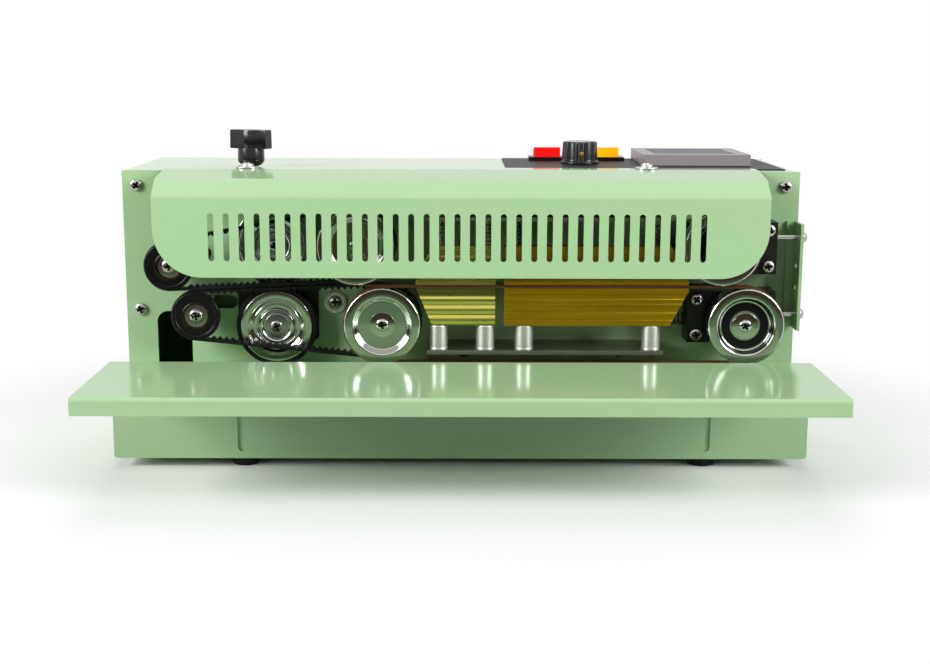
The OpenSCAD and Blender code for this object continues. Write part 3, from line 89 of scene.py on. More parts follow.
class Facing(Enum):
    """Direction that the local Z axis of a turned piece or a screw points to."""

    FRONT = "front"
    BACK = "back"
    UP = "up"
    DOWN = "down"
    RIGHT = "right"

    def matrix(self) -> Matrix:
        """Rotation that turns local Z to this direction.

        Returns:
            A 4 x 4 rotation matrix.
        """
        turns = {
            Facing.FRONT: (90.0, "X"),
            Facing.BACK: (-90.0, "X"),
            Facing.UP: (0.0, "X"),
            Facing.DOWN: (180.0, "X"),
            Facing.RIGHT: (90.0, "Y"),
        }
        angle, axis = turns[self]
        return Matrix.Rotation(math.radians(angle), 4, axis)


class Pattern(Enum):
    """Kind of fine surface pattern that a finish carries."""

    SPECKLE = "speckle"
    BRUSHED = "brushed"
    TURNED = "turned"


def place(x: float, y: float, z: float) -> Vector:
    """Turns a point of the drawing into the shared frame.

    Args:
        x: Millimetres to the right of the body's middle.
        y: Millimetres behind the front plate's face.
        z: Millimetres above the floor.

    Returns:
        The point in metres in the shared frame.
    """
    return (Vector((x, y, z)) - ORIGIN) * MM


def seat(x: float, y: float, z: float, facing: Facing, twist: float = 0.0) -> Matrix:
    """Matrix that seats a piece drawn in millimetres about its own Z axis.

    Args:
        x: Place to the right of the body's middle.
        y: Place behind the front plate's face.
        z: Place above the floor.
        facing: Direction of the piece's Z axis.
        twist: Turn about the piece's own axis in degrees.

    Returns:
        The matrix from local millimetres to the shared frame.
    """
    spin = Matrix.Rotation(math.radians(twist), 4, "Z")
    return Matrix.Translation(place(x, y, z)) @ facing.matrix() @ spin @ Matrix.Scale(MM, 4)


def tube(inner: float, outer: float, low: float, high: float) -> Profile:
    """Profile of a plain ring, or of a rod where the inner radius is 0.

    Args:
        inner: Inner radius in millimetres.
        outer: Outer radius in millimetres.
        low: Start along the axis.
        high: End along the axis.

    Returns:
        The points of the profile.
    """
    return [(inner, low), (outer, low), (outer, high), (inner, high)]


class Wiring:
    """Adds named nodes to a node tree and joins them."""

    def __init__(self, tree: bpy.types.NodeTree) -> None:
        """Keeps the tree.

        Args:
            tree: The node tree to build in.
        """
        self.tree = tree

    def add(self, name: str, kind: str, values: dict[str | int, object] | None = None,
            **settings: object) -> None:
        """Adds one node.

        Args:
            name: Name of the node in this tree.
            kind: Its type.
            values: Default of each input that differs, by the input's name or number.
            **settings: Settings of the node by name.
        """
        node = self.tree.nodes.new(kind)
        node.name = name
        for title, value in settings.items():
            setattr(node, title, value)
        for title, value in (values or {}).items():
            node.inputs[title].default_value = value

    def join(self, *links: str) -> None:
        """Joins sockets of the tree's nodes.

        Args:
            *links: Each as "node.output > node.input", with a socket's name or number.
        """
        for link in links:
            (source, given), (target, taken) = (end.split(".") for end in link.split(" > "))
            outputs, inputs = self.tree.nodes[source].outputs, self.tree.nodes[target].inputs
            self.tree.links.new(outputs[int(given) if given.isdigit() else given],
                                inputs[int(taken) if taken.isdigit() else taken])


class ShaderKit:
    """Node groups that several finishes share."""

    def __init__(self) -> None:
        """Builds an even speckle, lines along X and rings about an axis, each once."""
        grain = self._noise("grain", {"Vector": None, "Scale": 900.0, "Detail": 2.0})
        grain.join("into.Vector > noise.Vector", "into.Detail > noise.Detail")
        streaks = self._noise("streaks", {"Vector": None, "Scale": 900.0}, 3.0)
        streaks.add("stretch", "ShaderNodeMapping", {"Scale": (0.015, 0.6, 1.0)})
        streaks.join("into.Vector > stretch.Vector", "stretch.Vector > noise.Vector")
        rings = self._noise("rings", {"Radius": 0.0, "Scale": 2500.0}, 3.0, "1D")
        rings.join("into.Radius > noise.W")
        self.grain, self.streaks, self.rings = grain.tree, streaks.tree, rings.tree

    @staticmethod
    def _noise(name: str, inputs: dict[str, float | None], detail: float = 2.0, dimensions: str = "3D") -> Wiring:
        """Starts a group whose noise is spread from its middle band to the range from 0 to 1.

        Args:
            name: Name of the group.
            inputs: Default of each named input, or None for a vector.
            detail: Detail of the noise.
            dimensions: Dimensions that the noise varies in.

        Returns:
            The wiring of the new group.
        """
        group = Wiring(bpy.data.node_groups.new(name, "ShaderNodeTree"))
        sockets = group.tree.interface
        for title, default in inputs.items():
            kind = "NodeSocketVector" if default is None else "NodeSocketFloat"
            socket = sockets.new_socket(title, in_out="INPUT", socket_type=kind)
            if default is not None:
                socket.default_value = default
        sockets.new_socket("Mask", in_out="OUTPUT", socket_type="NodeSocketFloat")
        group.add("into", "NodeGroupInput")
        group.add("out", "NodeGroupOutput")
        group.add("noise", "ShaderNodeTexNoise", {"Detail": detail}, noise_dimensions=dimensions)
        group.add("spread", "ShaderNodeMapRange", {"From Min": 0.3, "From Max": 0.7})
        group.join("into.Scale > noise.Scale", "noise.Fac > spread.Value", "spread.Result > out.Mask")
        return group


@dataclass(frozen=True)
class Finish:
    """A procedural surface: two close colours, a fine pattern, a gloss and, for some finishes, painted shade where
    the mask attribute is set.
    """

    name: str
    slot: str
    colour: Colour
    shade: Colour
    roughness: float
    spread: float = 0.06
    metallic: float = 0.0
    pattern: Pattern = Pattern.SPECKLE
    scale: float = 900.0
    bump: float = 0.0
    glow: float = 0.0
    ior: float = 1.5
    # Painted shade: mixes the colour towards near black where the mask attribute is set.
    paints_shade: bool = False

    def material(self, kit: ShaderKit) -> bpy.types.Material:
        """Builds the material of this finish.

        Args:
            kit: The shared node groups.

        Returns:
            The new material.
        """
        made = bpy.data.materials.new(self.name)
        made.use_nodes = True
        net = Wiring(made.node_tree)
        surface = made.node_tree.nodes[SKIN]
        surface.inputs["Metallic"].default_value = self.metallic
        surface.inputs["IOR"].default_value = self.ior
        groups = {Pattern.SPECKLE: kit.grain, Pattern.BRUSHED: kit.streaks, Pattern.TURNED: kit.rings}
        net.add("coords", "ShaderNodeTexCoord")
        net.add("wide", "ShaderNodeGroup", {"Scale": WIDE_SCALE, "Detail": WIDE_DETAIL}, node_tree=kit.grain)
        net.add("fine", "ShaderNodeGroup", {"Scale": self.scale}, node_tree=groups[self.pattern])
        if self.pattern is Pattern.TURNED:
            net.add("radius", "ShaderNodeAttribute", attribute_name=TURN_RADIUS)
            net.join("radius.Fac > fine.Radius")
        else:
            net.join("coords.Object > fine.Vector")
        net.add("half", "ShaderNodeMath", {1: 0.5}, operation="MULTIPLY")
        net.add("blend", "ShaderNodeMath", {1: 0.5}, operation="MULTIPLY_ADD")
        net.add("tint", "ShaderNodeMix", {"A": (*self.colour, 1.0), "B": (*self.shade, 1.0)}, data_type="RGBA")
        net.add("gloss", "ShaderNodeMapRange", {"To Min": max(0.02, self.roughness - self.spread),
                                                "To Max": self.roughness + self.spread})
        net.join("coords.Object > wide.Vector", "wide.0 > half.0", "fine.0 > blend.0", "half.0 > blend.2",
                 "blend.0 > tint.Factor", "fine.0 > gloss.Value", f"gloss.Result > {SKIN}.Roughness")
        colour = "tint.Result"
        # Painted shade in screw recesses and on the cooling block's top strip: the mask attribute mixes the colour
        # towards near black.
        if self.paints_shade:
            net.add("depth", "ShaderNodeAttribute", attribute_name=PAINTED_SHADE_MASK)
            net.add("darker", "ShaderNodeMix", {"B": (*PAINTED_SHADE_COLOUR, 1.0)}, data_type="RGBA")
            net.join("depth.Fac > darker.Factor", f"{colour} > darker.A")
            colour = "darker.Result"
        net.join(f"{colour} > {SKIN}.Base Color")
        if self.bump:
            net.add("relief", "ShaderNodeBump", {"Strength": self.bump, "Distance": BUMP_DISTANCE})
            net.join("fine.0 > relief.Height", f"relief.Normal > {SKIN}.Normal")
        if self.glow:
            net.join(f"{colour} > {SKIN}.Emission Color")
            surface.inputs["Emission Strength"].default_value = self.glow
        return made


# Several finishes below take painted shade from the mask attribute: screws, chrome and turned steel in their cross
# recesses, the cooling gold on its top strip.
FINISHES: tuple[Finish, ...] = (
    Finish("mint_paint", "green_paint", (0.4, 0.6, 0.335), (0.38, 0.58, 0.318), 0.13, 0.02, scale=700.0, ior=1.4),
    Finish("bright_chrome", "bright_wheel", (0.62, 0.63, 0.6), (0.52, 0.53, 0.5), 0.07, 0.03, 1.0,
           pattern=Pattern.TURNED, scale=2600.0, bump=0.03, paints_shade=True),
    Finish("screw_zinc", "bright_screws", (0.5, 0.49, 0.46), (0.4, 0.39, 0.36), 0.2, 0.06, 1.0, scale=1500.0,
           paints_shade=True),
    Finish("washer_zinc", "bright_screws", (0.56, 0.56, 0.53), (0.46, 0.46, 0.43), 0.27, 0.06, 0.95, scale=1500.0,
           paints_shade=True),
    Finish("turned_steel", "plain_steel", (0.42, 0.42, 0.4), (0.34, 0.34, 0.32), 0.24, 0.07, 1.0,
           pattern=Pattern.TURNED, scale=2200.0, paints_shade=True),
    Finish("plain_steel", "plain_steel", (0.44, 0.44, 0.43), (0.36, 0.36, 0.36), 0.32, 0.08, 1.0, scale=800.0),
    Finish("post_aluminium", "plain_steel", (0.6, 0.6, 0.57), (0.5, 0.5, 0.47), 0.42, 0.08, 0.9,
           pattern=Pattern.BRUSHED, scale=1200.0),
    Finish("rail_aluminium", "plain_steel", (0.32, 0.32, 0.27), (0.25, 0.25, 0.21), 0.36, 0.08, 1.0,
           pattern=Pattern.BRUSHED, scale=1200.0),
    Finish("spring_steel", "plain_steel", (0.12, 0.12, 0.12), (0.08, 0.08, 0.08), 0.34, 0.08, 1.0, scale=1200.0),
    Finish("motor_case", "motor_metal", (0.1, 0.105, 0.11), (0.07, 0.075, 0.08), 0.5, 0.08, 0.3, scale=600.0,
           bump=0.2),
    Finish("black_block", "black_block", (0.007, 0.007, 0.007), (0.011, 0.011, 0.011), 0.36, 0.04, scale=700.0,
           bump=0.03, ior=1.35),
    Finish("black_moulding", "black_plastic", (0.004, 0.004, 0.004), (0.007, 0.007, 0.007), 0.24, 0.03, scale=900.0,
           ior=1.28),
    Finish("gloss_black", "black_plastic", (0.006, 0.006, 0.006), (0.009, 0.009, 0.009), 0.18, 0.03, scale=600.0,
           ior=1.4),
    Finish("panel_black", "black_panel", (0.016, 0.016, 0.016), (0.022, 0.022, 0.022), 0.46, 0.06, scale=1600.0,
           bump=0.1, ior=1.2),
    Finish("bezel_grey", "grey_plastic", (0.3, 0.27, 0.28), (0.27, 0.245, 0.255), 0.36, 0.05, scale=1200.0,
           bump=0.06, ior=1.3),
    Finish("dark_window", "grey_plastic", (0.05, 0.055, 0.08), (0.06, 0.065, 0.09), 0.3, 0.03, scale=300.0,
           ior=1.1),
    Finish("black_rubber", "black_rubber", (0.006, 0.006, 0.006), (0.01, 0.01, 0.01), 0.5, 0.06, scale=1200.0,
           bump=0.1, ior=1.25),
    Finish("brown_band", "brown_band", (0.1, 0.04, 0.014), (0.13, 0.055, 0.02), 0.34, 0.07, pattern=Pattern.BRUSHED,
           scale=1400.0, bump=0.1),
    Finish("heat_gold", "gold_block", (0.47, 0.285, 0.007), (0.34, 0.2, 0.005), 0.36, 0.08, 0.9,
           pattern=Pattern.BRUSHED, scale=700.0, bump=0.12),
    Finish("cool_gold", "gold_block", (0.66, 0.61, 0.14), (0.55, 0.5, 0.11), 0.26, 0.05, 0.95,
           pattern=Pattern.BRUSHED, scale=1400.0, bump=0.03, paints_shade=True),
    Finish("bearing_brass", "gold_block", (0.52, 0.34, 0.12), (0.4, 0.25, 0.08), 0.25, 0.06, 0.9,
           pattern=Pattern.TURNED, scale=1800.0),
    Finish("clear_red", "red_plastic", (0.88, 0.005, 0.005), (0.76, 0.003, 0.003), 0.3, 0.04, scale=500.0,
           glow=0.45, ior=1.25),
    Finish("clear_amber", "amber_plastic", (0.9, 0.38, 0.001), (0.82, 0.31, 0.001), 0.3, 0.04, scale=500.0,
           glow=0.45, ior=1.25),
)


class Paintbox:
    """All materials by name, and the way to put them on objects."""

    def __init__(self, finishes: Iterable[Finish]) -> None:
        """Builds every material.

        Args:
            finishes: The finishes to build.
        """
        kit = ShaderKit()
        self.finishes = {finish.name: finish for finish in finishes}
        self.materials = {name: finish.material(kit) for name, finish in self.finishes.items()}

    def dress(self, obj: bpy.types.Object, name: str) -> None:
        """Gives an object one material.

        Args:
            obj: A mesh object.
            name: Name of the finish.
        """
        obj.data.materials.clear()
        obj.data.materials.append(self.materials[name])


@dataclass(frozen=True)
class CrossRecess:
    """Proportions of a domed screw head with a cross recess, as shares of its radius or height."""

    arm: float = 0.19
    arm_blend: float = 0.06
    reach: float = 0.62
    reach_blend: float = 0.08
    depth: float = 0.55
    shoulder: float = 0.45

    def sunk(self, share: float, angle: float) -> float:
        """Tells how far a point lies in the recess.

        Args:
            share: Its distance from the axis as a share of the head's radius.
            angle: Its angle about the axis.

        Returns:
            A number from 0 on the dome to 1 on the recess's floor.
        """
        x, y = abs(share * math.cos(angle)), abs(share * math.sin(angle))
        side = max(0.0, min(1.0, (self.arm - min(x, y)) / self.arm_blend))
        end = max(0.0, min(1.0, (self.reach - max(x, y)) / self.reach_blend))
        return min(side, end)

    def level(self, share: float, sunk: float) -> float:
        """Height of a point of the head.

        Args:
            share: Its distance from the axis as a share of the head's radius.
            sunk: How far it lies in the recess.

        Returns:
            Its height as a share of the head's height.
        """
        dome = self.shoulder + (1 - self.shoulder) * math.sqrt(max(0.0, 1 - share ** 2))
        return dome - self.depth * sunk


class Workshop:
    """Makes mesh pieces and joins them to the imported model."""

    MERGE = 2e-6
    FLAT = math.radians(0.4)
    ROUNDED = math.radians(35.0)
    SKIN_CREASE = 50.0
    CORNER_SHARE = 0.4

    def __init__(self, frame: dict, paint: Paintbox) -> None:
        """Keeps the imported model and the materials.

        Args:
            frame: What the loaded model consists of.
            paint: The materials.
        """
        self.nodes: dict[str, bpy.types.Object] = frame["nodes"]
        self.paint = paint
        self.recess = CrossRecess()
        self.coil_tree = self._coil_tree()
        self.scatter_tree = self._scatter_tree()

    def piece(self, name: str, mesh: bpy.types.Mesh, finish: str, body: str, nodes: Iterable[str] = (),
              crease: float = 32.0) -> bpy.types.Object:
        """Finishes a mesh as a piece of the object.

        Args:
            name: Name of the piece.
            mesh: Its mesh in the shared frame.
            finish: Name of its finish.
            body: Body that it rides on.
            nodes: Nodes that it stands for.
            crease: Angle in degrees over which an edge stays sharp.

        Returns:
            The new object.
        """
        self._shaded(mesh, crease)
        obj = bpy.data.objects.new(name, mesh)
        bpy.context.scene.collection.objects.link(obj)
        self.paint.dress(obj, finish)
        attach(obj, body)
        if nodes:
            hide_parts(*nodes)
        LOG.info("piece %s: %d faces on %s", name, len(mesh.polygons), body)
        return obj

    def coat(self, node: str, finish: str) -> None:
        """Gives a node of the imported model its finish.

        Args:
            node: Name of the node.
            finish: Name of the finish.
        """
        self.paint.dress(self.nodes[node], finish)

    def softened(self, node: str, finish: str, body: str, edge: float = 0.35, segments: int = 2) -> None:
        """Copies a node with its edges rounded off.

        Args:
            node: Name of the node.
            finish: Name of the finish.
            body: Body that the node belongs to.
            edge: Width of the rounding in millimetres, or 0 for none.
            segments: Number of steps of the rounding.
        """
        work = bmesh.new()
        work.from_mesh(self.nodes[node].data)
        bmesh.ops.remove_doubles(work, verts=work.verts, dist=self.MERGE)
        bmesh.ops.dissolve_limit(work, angle_limit=self.FLAT, verts=work.verts, edges=work.edges)
        bmesh.ops.recalc_face_normals(work, faces=work.faces)
        points = [vert.co.copy() for vert in work.verts]
        work.verts.index_update()
        faces = [[vert.index for vert in face.verts] for face in work.faces]
        work.free()
        mesh = bpy.data.meshes.new(f"{node}_skin")
        mesh.from_pydata(points, [], faces)
        mesh.update()
        if edge:
            mesh = self._modified(mesh, "BEVEL", width=edge * MM, segments=segments, limit_method="ANGLE",
                                  angle_limit=self.ROUNDED, use_clamp_overlap=True)
        self._shaded(mesh, self.SKIN_CREASE)
        mesh = self._modified(mesh, "WEIGHTED_NORMAL", keep_sharp=True)
        self.piece(f"{node}_skin", mesh, finish, body, (node,), self.SKIN_CREASE)

    @staticmethod
    def _shaded(mesh: bpy.types.Mesh, crease: float) -> None:
        """Shades a mesh smoothly between its sharp edges.

        Args:
            mesh: The mesh to shade.
            crease: Angle in degrees over which an edge stays sharp.
        """
        mesh.polygons.foreach_set("use_smooth", [True] * len(mesh.polygons))
        mesh.set_sharp_from_angle(angle=math.radians(crease))

    @staticmethod
    def _modified(mesh: bpy.types.Mesh, kind: str, inputs: dict[str, object] | None = None,
                  **settings: object) -> bpy.types.Mesh:
        """Runs one modifier over a mesh.

        Args:
            mesh: The mesh to change.
            kind: Type of the modifier.
            inputs: Values of a geometry node tree's inputs by name.
            **settings: Settings of the modifier by name.

        Returns:
            A new plain mesh.
        """
        holder = bpy.data.objects.new("holder", mesh)
        bpy.context.scene.collection.objects.link(holder)
        modifier = holder.modifiers.new(kind.lower(), kind)
        for name, value in settings.items():
            setattr(modifier, name, value)
        for item in modifier.node_group.interface.items_tree if inputs else ():
            if item.item_type == "SOCKET" and item.in_out == "INPUT" and item.name in inputs:
                modifier[item.identifier] = inputs[item.name]
        shape = holder.evaluated_get(bpy.context.evaluated_depsgraph_get())
        made = bpy.data.meshes.new_from_object(shape)
        bpy.data.objects.remove(holder)
        return made

    @staticmethod
    def eased(points: Profile, radius: float, steps: int = 3) -> list[tuple[float, float]]:
        """Rounds the inner corners of an open profile.

        Args:
            points: Radius and distance along the axis of each point.
            radius: Reach of the rounding in millimetres.
            steps: Number of steps of each rounding.

        Returns:
            The points of the rounded profile.
        """
        path = [Vector(point) for point in points]
        done = [path[0]]
        for before, here, after in zip(path, path[1:], path[2:]):
            back, ahead = before - here, after - here
            reach = min(radius, Workshop.CORNER_SHARE * back.length, Workshop.CORNER_SHARE * ahead.length)
            start, end = here + back.normalized() * reach, here + ahead.normalized() * reach
            for step in range(steps + 1):
                share = step / steps
                done.append(start * (1 - share) ** 2 + here * 2 * share * (1 - share) + end * share ** 2)
        done.append(path[-1])
        return [(point.x, point.y) for point in done]

    def turned(self, work: bmesh.types.BMesh, profile: Profile, matrix: Matrix, ease: float = 0.3,
               segments: int = 96, radius_at: Callable[[float, float, float], float] | None = None) -> None:
        """Adds a solid of revolution to a mesh that is being built.

        Args:
            work: The mesh that is being built, with its radius layer.
            profile: Radius and distance along Z in millimetres, from the inner back to the inner front.
            matrix: Seat of the piece.
            ease: Reach of the rounding of the profile's corners.
            segments: Number of steps round the axis.
            radius_at: Optional function of radius, height and angle that gives another radius.
        """
        layer = self._layer(work, TURN_RADIUS)
        path = self.eased(profile, ease)
        rings: list[list[bmesh.types.BMVert]] = []
        for radius, along in path:
            count = 1 if radius < TINY else segments
            ring = []
            for step in range(count):
                angle = 2 * math.pi * step / segments
                reach = radius_at(radius, along, angle) if radius_at else radius
                vert = work.verts.new(matrix @ Vector((reach * math.cos(angle), reach * math.sin(angle), along)))
                vert[layer] = radius * MM
                ring.append(vert)
            rings.append(ring)
        pairs = list(zip(rings, rings[1:]))
        if path[0][0] > TINY and path[-1][0] > TINY:
            pairs.append((rings[-1], rings[0]))
        for lower, upper in pairs:
            for step in range(segments):
                following = (step + 1) % segments
                ends = [lower[step % len(lower)], lower[following % len(lower)], upper[following % len(upper)],
                        upper[step % len(upper)]]
                corners = list(dict.fromkeys(ends))
                if len(corners) > 2:
                    work.faces.new(corners)

    @staticmethod
    def _layer(work: bmesh.types.BMesh, name: str) -> bmesh.types.BMLayerItem:
        """Finds or adds a number that each vertex carries.

        Args:
            work: The mesh that is being built.
            name: Name of the number.

        Returns:
            Its layer.
        """
        layers = work.verts.layers.float
        return layers.get(name) or layers.new(name)

    def cross_head(self, work: bmesh.types.BMesh, matrix: Matrix, radius: float, height: float, segments: int = 56,
                   rings: int = 14) -> None:
        """Adds a domed screw head with a cross recess, marked for painted shade, to a mesh that is being built.

        Args:
            work: The mesh that is being built.
            matrix: Seat of the head, with its base at Z = 0.
            radius: Radius of the head in millimetres.
            height: Height of the head in millimetres.
            segments: Number of steps round the head.
            rings: Number of rings on the dome.
        """
        layer, dark = self._layer(work, TURN_RADIUS), self._layer(work, PAINTED_SHADE_MASK)
        turns = [2 * math.pi * step / segments for step in range(segments)]
        grid = [[work.verts.new(matrix @ Vector((radius * math.cos(a), radius * math.sin(a), 0.0))) for a in turns]]
        for ring in range(rings, -1, -1):
            share = ring / rings
            grid.append([])
            for a in turns if ring else turns[:1]:
                sunk = self.recess.sunk(share, a)
                vert = work.verts.new(matrix @ Vector((radius * share * math.cos(a), radius * share * math.sin(a),
                                                       height * self.recess.level(share, sunk))))
                # The share sunk into the cross recess is also the mask of painted shade there.
                vert[dark] = sunk
                grid[-1].append(vert)
        (top,) = grid.pop()
        for ring in grid:
            for vert in ring:
                vert[layer] = radius * MM
        base = work.verts.new(matrix @ Vector((0.0, 0.0, 0.0)))
        for step in range(segments):
            following = (step + 1) % segments
            for outer, inner in zip(grid, grid[1:]):
                work.faces.new((outer[step], outer[following], inner[following], inner[step]))
            work.faces.new((grid[-1][step], grid[-1][following], top))
            work.faces.new((grid[0][following], grid[0][step], base))

    @staticmethod
    def oblong(work: bmesh.types.BMesh, matrix: Matrix, half: float, radius: float, thick: float) -> None:
        """Adds a round-ended plate to a mesh that is being built.

        Args:
            work: The mesh that is being built.
            matrix: Seat of the plate, with its length along local Y and its base at Z = 0.
            half: Half the distance between the centres of its ends in millimetres.
            radius: Radius of its ends in millimetres.
            thick: Its thickness in millimetres.
        """
        steps = 24
        outline = []
        for centre, start in ((half, 0.0), (-half, math.pi)):
            for step in range(steps + 1):
                angle = start + math.pi * step / steps
                outline.append((radius * math.cos(angle), centre + radius * math.sin(angle)))
        rings = [[work.verts.new(matrix @ Vector((x, y, level))) for x, y in outline] for level in (0.0, thick)]
        for step in range(len(outline)):
            following = (step + 1) % len(outline)
            work.faces.new((rings[0][step], rings[0][following], rings[1][following], rings[1][step]))
        work.faces.new(rings[0][::-1])
        work.faces.new(rings[1])

    @staticmethod
    def block(work: bmesh.types.BMesh, low: Vector, high: Vector) -> None:
        """Adds a box to a mesh that is being built.

        Args:
            work: The mesh that is being built.
            low: Lowest corner in metres.
            high: Highest corner in metres.
        """
        made = bmesh.ops.create_cube(work, size=1.0)
        size = high - low
        middle = (high + low) / 2
        for vert in made["verts"]:
            vert.co = Vector(tuple(vert.co[i] * size[i] + middle[i] for i in range(3)))

    @staticmethod
    def closed(name: str, work: bmesh.types.BMesh) -> bpy.types.Mesh:
        """Ends the building of a mesh.

        Args:
            name: Name of the mesh.
            work: The mesh that is being built, which is freed.

        Returns:
            The mesh with its normals outwards.
        """
        bmesh.ops.recalc_face_normals(work, faces=work.faces)
        mesh = bpy.data.meshes.new(name)
        work.to_mesh(mesh)
        work.free()
        return mesh

    def lathed(self, name: str, turnings: Iterable[tuple[Profile, Matrix]], finish: str, body: str,
               nodes: Iterable[str] = (), ease: float = 0.3, segments: int = 96, crease: float = 32.0,
               heads: Iterable[tuple[Matrix, float, float]] = ()) -> None:
        """Makes one piece of turned solids and screw heads.

        Args:
            name: Name of the piece.
            turnings: Profile and seat of each turned solid.
            finish: Name of the finish.
            body: Body that the piece rides on.
            nodes: Nodes that it stands for.
            ease: Reach of the rounding of the profiles' corners.
            segments: Number of steps round the axes.
            crease: Angle in degrees over which an edge stays sharp.
            heads: Seat, radius and height of each screw head.
        """
        work = bmesh.new()
        for profile, matrix in turnings:
            self.turned(work, profile, matrix, ease, segments)
        for matrix, radius, height in heads:
            self.cross_head(work, matrix, radius, height)
        self.piece(name, self.closed(name, work), finish, body, nodes, crease)

    def shaft(self, node: str, x: float, z: float, span: tuple[float, float], washer: tuple[float, float],
              head_h: float, finish: str, body: str, twist: float) -> None:
        """Makes a shaft along Y with a washer and a cross-head screw at its front end.

        Args:
            node: Node that the shaft stands for.
            x: Place of its axis.
            z: Height of its axis.
            span: Y of its back end and of the face that the washer lies on.
            washer: Radius and thickness of the washer.
            head_h: Height of the screw's head.
            finish: Name of its finish.
            body: Body that it rides on.
            twist: Turn of the recess in degrees.
        """
        shaft_r, head_r, sink = 5.0, 4.9, 0.1
        back, face = span
        run, (wide, thick) = back - face, washer
        profile = [(0.0, 0.0), (shaft_r, 0.0), (shaft_r, run), (wide, run), (wide, run + thick), (0.0, run + thick)]
        head = seat(x, face - thick + sink, z, Facing.FRONT, twist)
        self.lathed(f"{node}_turned", [(profile, seat(x, back, z, Facing.FRONT))], finish, body, (node,), 0.25, 72,
                    40.0, [(head, head_r, head_h)])

    @staticmethod
    def _tree(name: str, inputs: dict[str, str]) -> Wiring:
        """Starts a geometry node tree with named inputs that ends in a finish.

        Args:
            name: Name of the tree.
            inputs: Socket type of each input between the geometry and the finish.

        Returns:
            The wiring of the new tree.
        """
        made = Wiring(bpy.data.node_groups.new(name, "GeometryNodeTree"))
        made.tree.is_modifier = True
        sockets = {"Geometry": "NodeSocketGeometry", **inputs, "Finish": "NodeSocketMaterial"}
        for title, kind in sockets.items():
            made.tree.interface.new_socket(title, in_out="INPUT", socket_type=kind)
        made.tree.interface.new_socket("Geometry", in_out="OUTPUT", socket_type="NodeSocketGeometry")
        made.add("into", "NodeGroupInput")
        made.add("out", "NodeGroupOutput")
        made.add("real", "GeometryNodeRealizeInstances")
        made.add("finish", "GeometryNodeSetMaterial")
        made.join("real.Geometry > finish.Geometry", "into.Finish > finish.Material",
                  "finish.Geometry > out.Geometry")
        return made

    def _coil_tree(self) -> bpy.types.GeometryNodeTree:
        """Coil spring: a wire swept along a helix.

        Returns:
            The geometry node tree.
        """
        made = self._tree("coil_spring", dict.fromkeys(("Turns", "Radius", "Height", "Wire"), "NodeSocketFloat"))
        made.add("helix", "GeometryNodeCurveSpiral", {"Resolution": 40})
        made.add("wire", "GeometryNodeCurvePrimitiveCircle", {"Resolution": 12})
        made.add("sweep", "GeometryNodeCurveToMesh", {"Fill Caps": True})
        made.join("into.Turns > helix.Rotations", "into.Radius > helix.Start Radius",
                  "into.Radius > helix.End Radius", "into.Height > helix.Height", "into.Wire > wire.Radius",
                  "helix.Curve > sweep.Curve", "wire.Curve > sweep.Profile Curve", "sweep.Mesh > real.Geometry")
        return made.tree

    def _scatter_tree(self) -> bpy.types.GeometryNodeTree:
        """Copies of one fastener at the points of a mesh, turned as the points say.

        Returns:
            The geometry node tree.
        """
        made = self._tree("scatter_fasteners", {"Fastener": "NodeSocketObject"})
        made.add("source", "GeometryNodeObjectInfo")
        made.add("turn", "GeometryNodeInputNamedAttribute", {"Name": "turn"}, data_type="FLOAT_VECTOR")
        made.add("rotation", "FunctionNodeEulerToRotation")
        made.add("copies", "GeometryNodeInstanceOnPoints")
        made.join("into.Fastener > source.Object", "turn.Attribute > rotation.Euler",
                  "into.Geometry > copies.Points", "source.Geometry > copies.Instance",
                  "rotation.Rotation > copies.Rotation", "copies.Instances > real.Geometry")
        return made.tree

    def spring(self, name: str, seats: Iterable[Matrix], radius: float, wire: float, turns: float, height: float,
               body: str, nodes: Iterable[str]) -> bpy.types.Object:
        """Makes one piece of one or more coil springs.

        Args:
            name: Name of the piece.
            seats: Seat of each spring, with its foot at Z = 0.
            radius: Mean radius in millimetres.
            wire: Wire diameter in millimetres.
            turns: Number of turns.
            height: Whole height in millimetres.
            body: Body that the springs ride on.
            nodes: Nodes that they stand for.

        Returns:
            The new piece.
        """
        values = {"Turns": float(turns), "Radius": radius, "Height": height - wire, "Wire": wire / 2,
                  "Finish": self.paint.materials["spring_steel"]}
        coil = self._modified(bpy.data.meshes.new("coil_seed"), "NODES", values, node_group=self.coil_tree)
        lift = Matrix.Translation((0.0, 0.0, wire / 2))
        work = bmesh.new()
        for matrix in seats:
            turned = coil.copy()
            turned.transform(matrix @ lift)
            work.from_mesh(turned)
            bpy.data.meshes.remove(turned)
        return self.piece(name, self.closed(name, work), "spring_steel", body, nodes)

    def scattered(self, name: str, fastener: bpy.types.Mesh, seats: Sequence[Matrix], finish: str, body: str,
                  nodes: Iterable[str]) -> None:
        """Makes one piece of many copies of a fastener.

        Args:
            name: Name of the piece.
            fastener: Mesh of the fastener in metres about its own Z axis.
            seats: Seat of each copy.
            finish: Name of the finish.
            body: Body that the fasteners ride on.
            nodes: Nodes that they stand for.
        """
        points = bpy.data.meshes.new(f"{name}_points")
        points.from_pydata([matrix.to_translation() for matrix in seats], [], [])
        turn = points.attributes.new("turn", "FLOAT_VECTOR", "POINT")
        for entry, matrix in zip(turn.data, seats):
            entry.vector = Vector(matrix.to_euler("XYZ"))
        template = bpy.data.objects.new(f"{name}_template", fastener)
        bpy.context.scene.collection.objects.link(template)
        values = {"Fastener": template, "Finish": self.paint.materials[finish]}
        mesh = self._modified(points, "NODES", values, node_group=self.scatter_tree)
        bpy.data.objects.remove(template)
        self.piece(name, mesh, finish, body, nodes)


